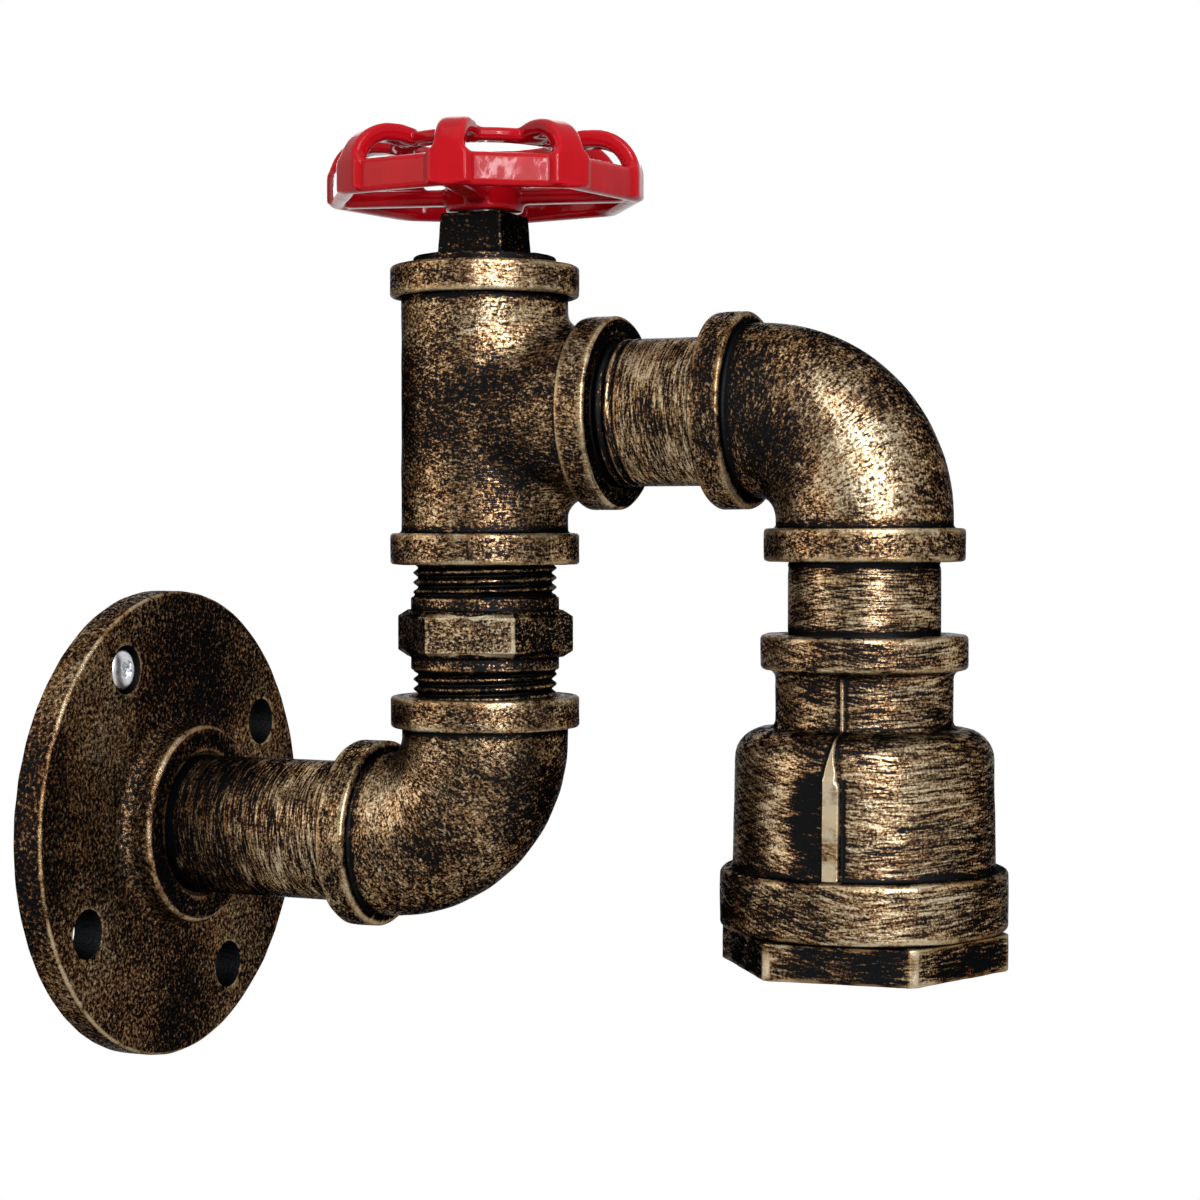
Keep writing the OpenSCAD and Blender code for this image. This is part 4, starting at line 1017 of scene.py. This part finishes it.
def makeBell():
    # radius = turned outline + rib + ridge + line, each a soft window in arc length and height
    low, top = bellFoot, bellTop
    neckTop = top - bell["topBand"]
    neckFoot = neckTop - bell["neck"]
    shoulderZ = neckFoot - bell["shoulder"]
    bandTop = low + bell["lowBand"]
    seat, socketEnd = ringHead + bell["seatRise"], top - fitting["socketDepth"]
    chamfer, lip, edge = fitting["chamfer"], fitting["lipEdge"], bell["edge"]
    outline = roundedPath([
        (low, bell["lowR"], edge), (bandTop, bell["lowR"], bell["lowEdge"]), (bandTop, bell["bellR"], edge),
        (neckFoot, bell["bellR"] - bell["draw"], bell["shoulder"]), (neckFoot, bodyR, bell["fillet"]),
        (neckTop, bodyR, bell["fillet"]), (neckTop, bell["topR"], edge), (top, bell["topR"], edge),
        (top, socketR + chamfer, lip), (top - chamfer, socketR, lip), (socketEnd, socketR, 0),
        (socketEnd, passageR + bell["seatClear"], 0), (shoulderZ, bell["hollowR"], 1),
        (seat, bell["hollowR"], 0), (seat, bell["socketR"], 0),
        (low + chamfer, bell["socketR"], lip), (low, bell["socketR"] + chamfer, lip)], steps=8)
    profile = spaced(outline, bell["step"])
    angle = around(bell["sides"], bell["ribTurn"], 2, bell["pull"])
    half, soft = bell["ribW"] / 2, bell["soft"]

    def relief(height, radius, angle):
        # rib on the bell, ridge tapering over the shoulder, thin parting line on the neck
        off = ((angle - math.radians(bell["ribTurn"]) + math.pi / 2) % math.pi - math.pi / 2) * radius
        ribTop = shoulderZ - bell["ribSlope"] * smoothStep(off, bell["slopeFrom"], half)
        rib = window(off, -half, half, soft)
        rib = rib * window(height, bandTop - bell["ribSink"], ribTop, bell["ribEnd"])
        taper = smoothStep(height, shoulderZ - bell["taperFrom"], neckFoot)
        left = -half + taper * bell["ridgeLeft"]
        right = half - bell["ridgeInset"] - taper * bell["ridgeRight"]
        ridge = window(off, left, right, soft)
        ridge = ridge * window(height, shoulderZ - bell["ridgeEnd"], neckFoot, bell["ridgeEnd"])
        line = window(off, -bell["lineW"] / 2, bell["lineW"] / 2, bell["lineSoft"])
        line = line * window(height, neckFoot, neckTop - bell["lineInset"], bell["lineEnd"])
        return off, rib, ridge, line

    def most(rib, ridge, line):
        return np.maximum(np.maximum(rib, ridge), line)

    height, radius = columns(profile)
    off, rib, ridge, line = relief(height, radius, angle)
    rise = most(bell["ribRise"] * rib, bell["ridgeRise"] * ridge, bell["lineRise"] * line)
    # relief on the outside only: rows before the top face, and none on the low band
    outer = column(np.arange(len(profile)) < np.argmax(profile[:, 0] > top - 0.01))
    rise = rise * outer * (radius < bell["bellR"] + 0.3)
    piece = makePiece("bellReducer", [(turned(height, radius + rise, angle, "z", (dropX, 0, 0)), True)])
    roughen(piece, fitting["skin"], fitting["skinSize"], bell["seed"])

    def ribMarks(spots, marks):
        # gold on the rib, ridge, line and rim, the rim's worn line being also a painted highlight; a bare
        # patch beside the rib, dark lines along it and the band
        # the band is painted darker left of the rib and lighter to its right: painted shade and painted
        # highlight
        high = spots[:, 2]
        reach, turn = polar(spots, dropX)
        off, rib, ridge, line = relief(high, reach, turn)
        on = reach > bodyR - 0.5
        worn = most(bell["ribWear"] * rib, bell["ridgeWear"] * ridge, bell["lineWear"] * line)
        atLeast(marks, "wear", on * worn)
        bare = smoothStep(off + half + bell["bareW"], *bell["bareFade"]) * (off < -half)
        bareTop = shoulderZ + bell["bareRise"] + bell["bareSlope"] * off
        bare = bell["bareDark"] * bare * window(high, bandTop, bareTop, bell["bareSoft"])
        near, far = bell["edgeLine"]
        edge = window(off, half + near, half + far, bell["darkSoft"])
        edge = edge * window(high, bandTop, shoulderZ - 0.8, bell["ribEnd"])
        joint = window(off, half, half + bell["jointW"], 2.0)
        joint = joint * window(high - bandTop, *bell["joint"], 0.3)
        dark = most(bare, edge, joint * (reach < bell["bellR"] + 0.5))
        band = (reach > bell["bellR"] + 0.5) * (high < bandTop + 0.1)
        # a worn gold line round the band's upper edge, which also stands as a painted highlight on that edge
        rim = band * window(high - bandTop, *bell["rim"], bell["rimSoft"])
        atLeast(marks, "wear", bell["rimHighlight"] * rim)
        atLeast(marks, "hollow", on * dark)
        marks["hollow"] *= 1 - most(rib, ridge, line)
        # painted shade on the band left of the rib, painted highlight to its right, on the lamps' side
        side = smoothStep(off, *bell["bandFrom"]) * (1 - smoothStep(off, *bell["bandTo"]))
        marks["hollow"] += band * (bell["bandShadeLeft"] + side * (bell["bandHighlightRight"] - bell["bandShadeLeft"]))
    place(piece, "fittings", "bell_bronze", bellBronze, ["bell_reducer"], dropBrush, ribMarks)


makeBell()
print("bell made")


# Lamp ring: a plain hexagon round the lamp's mouth, with the thread above it in the bell
lampRing = {"hexH": 6.5, "flatR": 22.45, "turn": 7, "cornerCut": 0.4, "boreR": 18.5, "boreEdge": 0.4,
            "threadR": 20.95, "edge": 0.35, "lineW": 1.3, "lineWear": 1.5, "dark": 0.35, "fleck": (-1, 5, 2),
            "facetIn": 0.4, "step": 0.7, "sides": 216, "pull": 0.8, "skin": 0.1, "skinSize": 7, "seed": 9}


def makeLampRing():
    # radius = outline times the hexagon's factor where it applies, with the corners cut off
    hexTop = ringFoot + lampRing["hexH"]
    cornerR = lampRing["flatR"] / math.cos(math.pi / 6)
    edge, mouthR, threadR = lampRing["edge"], lampRing["boreR"], lampRing["threadR"]
    outline = roundedPath([
        (ringFoot, mouthR, lampRing["boreEdge"], 0), (ringFoot, cornerR, edge, 1), (hexTop, cornerR, edge, 1),
        (hexTop, threadR, 0, 0), (ringHead, threadR, 0, 0), (ringHead, mouthR, 0, 0)])
    profile = spaced(outline, lampRing["step"])
    angle = around(lampRing["sides"], lampRing["turn"], 6, lampRing["pull"])
    factor = np.minimum(polygonFactor(angle, 6, lampRing["turn"]), 1 - lampRing["cornerCut"] / cornerR)
    piece = makePiece("lampRing", [(shaped(profile, factor, angle, dropX), True)])
    roughen(piece, lampRing["skin"], lampRing["skinSize"], lampRing["seed"])

    def cornerMarks(spots, marks):
        # a gold line down each corner, flecks on one side of it and dark facets between
        part = fullTurn / 6
        reach, turn = polar(spots, dropX)
        off = ((turn - math.radians(lampRing["turn"]) + part / 2) % part - part / 2) * cornerR
        outside = reach > lampRing["flatR"] - lampRing["facetIn"]
        line = outside * (1 - smoothStep(np.abs(off), lampRing["lineW"] / 2, lampRing["lineW"]))
        atLeast(marks, "wear", lampRing["lineWear"] * line)
        marks["hollow"] += outside * lampRing["dark"] * (1 - window(off, *lampRing["fleck"]))
    place(piece, "fittings", "bell_bronze", ringBronze, ["lamp_ring"], dropBrush, cornerMarks)


makeLampRing()
print("lamp ring made")


# Lamp shell: thin brass rolled into a round thread
shell = {"boreR": 13.25, "wall": 0.35, "depth": 0.95, "pitch": 3.63, "lip": 1.2, "step": 0.3, "sides": 144}


def makeShell():
    # radius = bore - depth (1 + cos(height / pitch - turn)) / 2, faded out at both ends
    height = column(np.arange(shellFoot, shellTop + 0.01, shell["step"]))
    angle, lip = around(shell["sides"]), shell["lip"]
    fade = smoothStep(height, shellFoot, shellFoot + lip) * (1 - smoothStep(height, shellTop - lip, shellTop))
    wave = 0.5 + 0.5 * np.cos(fullTurn * height / shell["pitch"] - angle)
    inner = shell["boreR"] - shell["depth"] * wave * fade
    grid = np.concatenate([turned(height, inner, angle), turned(height, inner + shell["wall"], angle)[::-1]])
    piece = makePiece("lampShell", [(grid + np.array([dropX, 0, 0]), True)])
    place(piece, "fittings", "brass", brass, ["lampholder_shell"])


makeShell()
print("lamp shell made")


# Handwheel: skirt, arched ribs, top ring, spokes and hub, fused and softened like a thick coat of enamel
wheel = {"radius": 29.8, "ribs": 8, "turn": 13.3, "ribW": 5.6, "ribT": 3.2, "shoulder": 8.5, "flats": 28.0,
         "skirtH": 6.1, "skirtLift": 1.4, "skirtWall": 2.9, "skirtEdge": 0.9, "skirtTopEdge": 1.2,
         "skirtSides": 240, "ringR": 17.5, "ringW": 4.5, "ringT": 2.4, "ringDrop": 1.2, "ringEdge": 1.0,
         "hubR": 7.3, "hubH": 5.2, "hubEdge": 0.5, "spokes": 4, "spokeW": 4.2, "spokeT": 3.0, "edge": 1.0,
         "web": 1.3, "squareHalf": 2.25, "collarSides": 144, "sectionStep": 0.6, "ribStep": 0.5,
         "ribLift": 0.6, "ribOver": 1.5, "ribDip": 2.0, "spokeSink": 1.5, "spokeStep": 0.8,
         "voxel": 0.38, "smoothing": 6, "softness": 0.5}


def bar(path, width, thick, edge, spread=0):
    # a rounded rectangle carried along a path in the r-z plane, square to it; spread widens each row
    ahead = np.gradient(path, axis=0)
    ahead /= np.linalg.norm(ahead, axis=1, keepdims=True)
    t, w = thick / 2, width / 2
    section = roundedPath([(-t, -w, edge), (t, -w, edge), (t, w, edge), (-t, w, edge)], steps=4)
    section = spaced(section, wheel["sectionStep"])
    a, b = section[:, 0], section[:, 1] * (1 + spread)
    r = column(path[:, 0]) - column(ahead[:, 1]) * a
    z = column(path[:, 1]) + column(ahead[:, 0]) * a
    return np.stack([r, b + 0 * r, z], -1)


def spun(grid, degrees):
    # x cos a - y sin a, x sin a + y cos a
    a = math.radians(degrees)
    spin = np.array([[math.cos(a), math.sin(a), 0], [-math.sin(a), math.cos(a), 0], [0, 0, 1]])
    return grid @ spin


def wheelSkirt():
    # between an inner octagon and an outer one whose corners are cut to the wheel's circle
    angle = around(wheel["skirtSides"], wheel["turn"])
    corner = 1 / math.cos(math.pi / wheel["ribs"])
    factor = polygonFactor(angle, wheel["ribs"], wheel["turn"])
    outer = np.minimum(wheel["flats"] * corner * factor, wheel["radius"])
    inner = (wheel["flats"] - wheel["skirtWall"]) * corner * factor
    h, t = wheel["skirtH"], wheel["skirtWall"]
    edge, topEdge = wheel["skirtEdge"], wheel["skirtTopEdge"]
    section = roundedPath([(0, 0, edge), (t, 0, edge), (t, h, topEdge), (0, h, edge)], steps=4)
    section = spaced(section, wheel["sectionStep"])
    share = column(section[:, 0]) / t
    return turned(column(section[:, 1]) + wheel["skirtLift"], inner + share * (outer - inner), angle)


def wheelRib():
    # up the outside of the skirt, over the shoulder and in to the ring, flaring into the skirt at its foot
    half = wheel["ribT"] / 2
    height = wheelTop - wheelFoot
    out, up = wheel["radius"] - half, height - half
    ringZ = height - wheel["ringDrop"] - wheel["ringT"] / 2
    path = roundedPath([(out, wheel["skirtLift"] + wheel["ribLift"], 0), (out, up, wheel["shoulder"] - half),
                        (wheel["ringR"] + wheel["ribOver"], up, wheel["ribDip"]),
                        (wheel["ringR"] - wheel["ringW"] / 2, ringZ, 0)], steps=12, closed=False)
    path = spaced(path, wheel["ribStep"], closed=False)
    skirtTop = wheel["skirtLift"] + wheel["skirtH"]
    below = np.clip((skirtTop + wheel["web"] - path[:, 1]) / wheel["web"], 0, 1)
    flare = wheel["web"] * (1 - np.sqrt(1 - below ** 2)) * 2 / wheel["ribW"]
    return bar(path, wheel["ribW"], wheel["ribT"], wheel["edge"], column(flare))


def wheelSpoke():
    # level from inside the hub to the middle of the skirt's wall
    mid = wheel["skirtLift"] + wheel["spokeT"] / 2
    inner, outer = wheel["hubR"] - wheel["spokeSink"], wheel["flats"] - wheel["skirtWall"] / 2
    path = spaced(np.array([[inner, mid], [outer, mid]]), wheel["spokeStep"], closed=False)
    return bar(path, wheel["spokeW"], wheel["spokeT"], wheel["edge"])


def wheelCollar(innerR, outerR, low, high, edge):
    # a turned collar; its bore may be given as one radius for each of the angles
    outline = roundedPath([(low, 0, 0), (low, outerR, edge), (high, outerR, edge), (high, 0, 0)], steps=4)
    height, radius = columns(outline)
    return turned(height, np.maximum(radius, innerR), around(wheel["collarSides"]))


def makeWheel():
    ringTop = wheelTop - wheelFoot - wheel["ringDrop"]
    angle = around(wheel["collarSides"])
    squareBore = wheel["squareHalf"] / np.maximum(np.abs(np.cos(angle)), np.abs(np.sin(angle)))
    ringR, ringFootZ = wheel["ringR"], ringTop - wheel["ringT"]
    patches = [(wheelSkirt(), True),
               (wheelCollar(ringR - wheel["ringW"], ringR, ringFootZ, ringTop, wheel["ringEdge"]), True),
               (wheelCollar(squareBore, wheel["hubR"], 0, wheel["hubH"], wheel["hubEdge"]), True)]
    for arm, count in ((wheelRib(), wheel["ribs"]), (wheelSpoke(), wheel["spokes"])):
        patches += [(spun(arm, wheel["turn"] + k * 360 / count), False) for k in range(count)]
    shift = np.array([runX, 0, wheelFoot])
    piece = makePiece("handwheel.enamel", [(grid + shift, joined) for grid, joined in patches])
    fuse = piece.modifiers.new("fuse", "REMESH")
    fuse.mode = "VOXEL"
    fuse.voxel_size = wheel["voxel"] * mm
    soften = piece.modifiers.new("soften", "SMOOTH")
    soften.factor = wheel["softness"]
    soften.iterations = wheel["smoothing"]
    settle(piece)
    place(piece, "wheel", "red_enamel", redEnamel, ["handwheel"])


makeWheel()
print("handwheel made")


# Inner pieces stay as they are in the frame and take their finish
plainFinishes = {
    zinc: ["terminal_screws", "switch_spindle", "wheel_washer", "wheel_nut"],
    brass: ["centre_contact", "live_terminal", "neutral_terminal", "switch_terminals"],
    porcelain: ["lampholder_body"],
    mouldedBlack: ["switch_body"],
    mouldedBrown: ["switch_base", "switch_rotor"],
    leadBrown: ["live_lead"],
    leadBlack: ["switched_lead"],
    leadBlue: ["neutral_lead"],
}
for finish, nodes in plainFinishes.items():
    for node in nodes:
        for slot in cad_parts[node].material_slots:
            slot.material = finish
print("inner pieces finished")


# Studio: pale floor, white surroundings and soft lamps
# each lamp: turn and lift in degrees, distance and size in metres, power, colour
studio = {"floorZ": -420.0, "floorSize": 12.0, "floorTone": 0.82, "floorVary": 0.03, "floorCloud": 3,
          "floorRough": 0.9, "floorGloss": 0.1, "ambient": 0.1, "white": (0.30, 0.60), "aim": (85, 0, 45),
          "lamps": {"key": (-50, 22, 0.9, (0.5, 0.85), 10.0, (0.97, 0.98, 1.06)),
                    "strip": (-47, 20, 0.85, (0.03, 0.45), 2.2, (1, 1, 1)),
                    "fill": (-138, 14, 1.0, (0.6, 0.7), 3.0, (1, 0.84, 0.72)),
                    "top": (-65, 74, 0.9, (0.6, 0.6), 1.0, (1, 1, 1)),
                    "back": (120, 30, 1.1, (0.8, 0.8), 4.0, (1, 1, 1))}}


def backgroundRays(flow):
    # 1 for every ray that should see the white background
    path = flow.tree.nodes.new("ShaderNodeLightPath")
    seen = [Flow(flow.tree, path.outputs[name])
            for name in ("Is Camera Ray", "Is Glossy Ray", "Is Transmission Ray")]
    return seen[0].most(seen[1]).most(seen[2])


def makeWorld():
    world = bpy.data.worlds.new("studio")
    world.use_nodes = True
    tree = world.node_tree
    background = tree.nodes["Background"]
    level = backgroundRays(Flow(tree, background.outputs[0]))
    ambient = studio["ambient"]
    shade = level.mixed((ambient, ambient, ambient, 1), (1, 1, 1, 1))
    tree.links.new(shade.socket, background.inputs["Color"])
    scene.world = world


def makeFloor():
    # pale under the object, where it keeps the shadow, and plain white farther out
    half = studio["floorSize"] / 2
    mesh = bpy.data.meshes.new("floor")
    z = studio["floorZ"] * mm
    corners = [(-half, -half, z), (half, -half, z), (half, half, z), (-half, half, z)]
    mesh.from_pydata(corners, [], [(0, 1, 2, 3)])
    floor = bpy.data.objects.new("floor", mesh)
    scene.collection.objects.link(floor)
    finish, coords, shader = startFinish("paleFloor", Roughness=studio["floorRough"],
                                         Specular_IOR_Level=studio["floorGloss"])
    tone, light = studio["floorTone"], studio["floorTone"] + studio["floorVary"]
    cloud = coords.noise(studio["floorCloud"], 2)
    feed(shader, Base_Color=cloud.ramp([(0.3, (tone,) * 3), (0.7, (light,) * 3)]))
    away = coords.node("ShaderNodeVectorMath", {"operation": "LENGTH"}, {0: coords}, out="Value")
    white = coords.node("ShaderNodeEmission", {}, {"Color": (1, 1, 1, 1), "Strength": 1.0})
    lit = Flow(coords.tree, shader.outputs[0])
    factor = backgroundRays(coords) * away.between(*studio["white"])
    shown = coords.node("ShaderNodeMixShader", {}, {0: factor, 1: lit, 2: white})
    coords.tree.links.new(shown.socket, coords.tree.nodes["Material Output"].inputs["Surface"])
    mesh.materials.append(finish)


def makeLamp(name, turn, lift, far, size, power, colour):
    # a soft rectangle that faces the aim from its turn and lift
    data = bpy.data.lights.new(name, "AREA")
    data.shape = "RECTANGLE"
    data.size, data.size_y = size
    data.energy = power
    data.color = colour
    turn, lift = math.radians(turn), math.radians(lift)
    away = np.array([math.cos(turn) * math.cos(lift), math.sin(turn) * math.cos(lift), math.sin(lift)])
    lampObject = bpy.data.objects.new(name, data)
    lampObject.location = np.array(studio["aim"]) * mm + away * far
    lampObject.rotation_euler = (math.pi / 2 - lift, 0, turn + math.pi / 2)
    scene.collection.objects.link(lampObject)


makeWorld()
makeFloor()
for lampName, lampSettings in studio["lamps"].items():
    makeLamp(lampName, *lampSettings)
scene.view_settings.view_transform = "Standard"
print("studio lit")
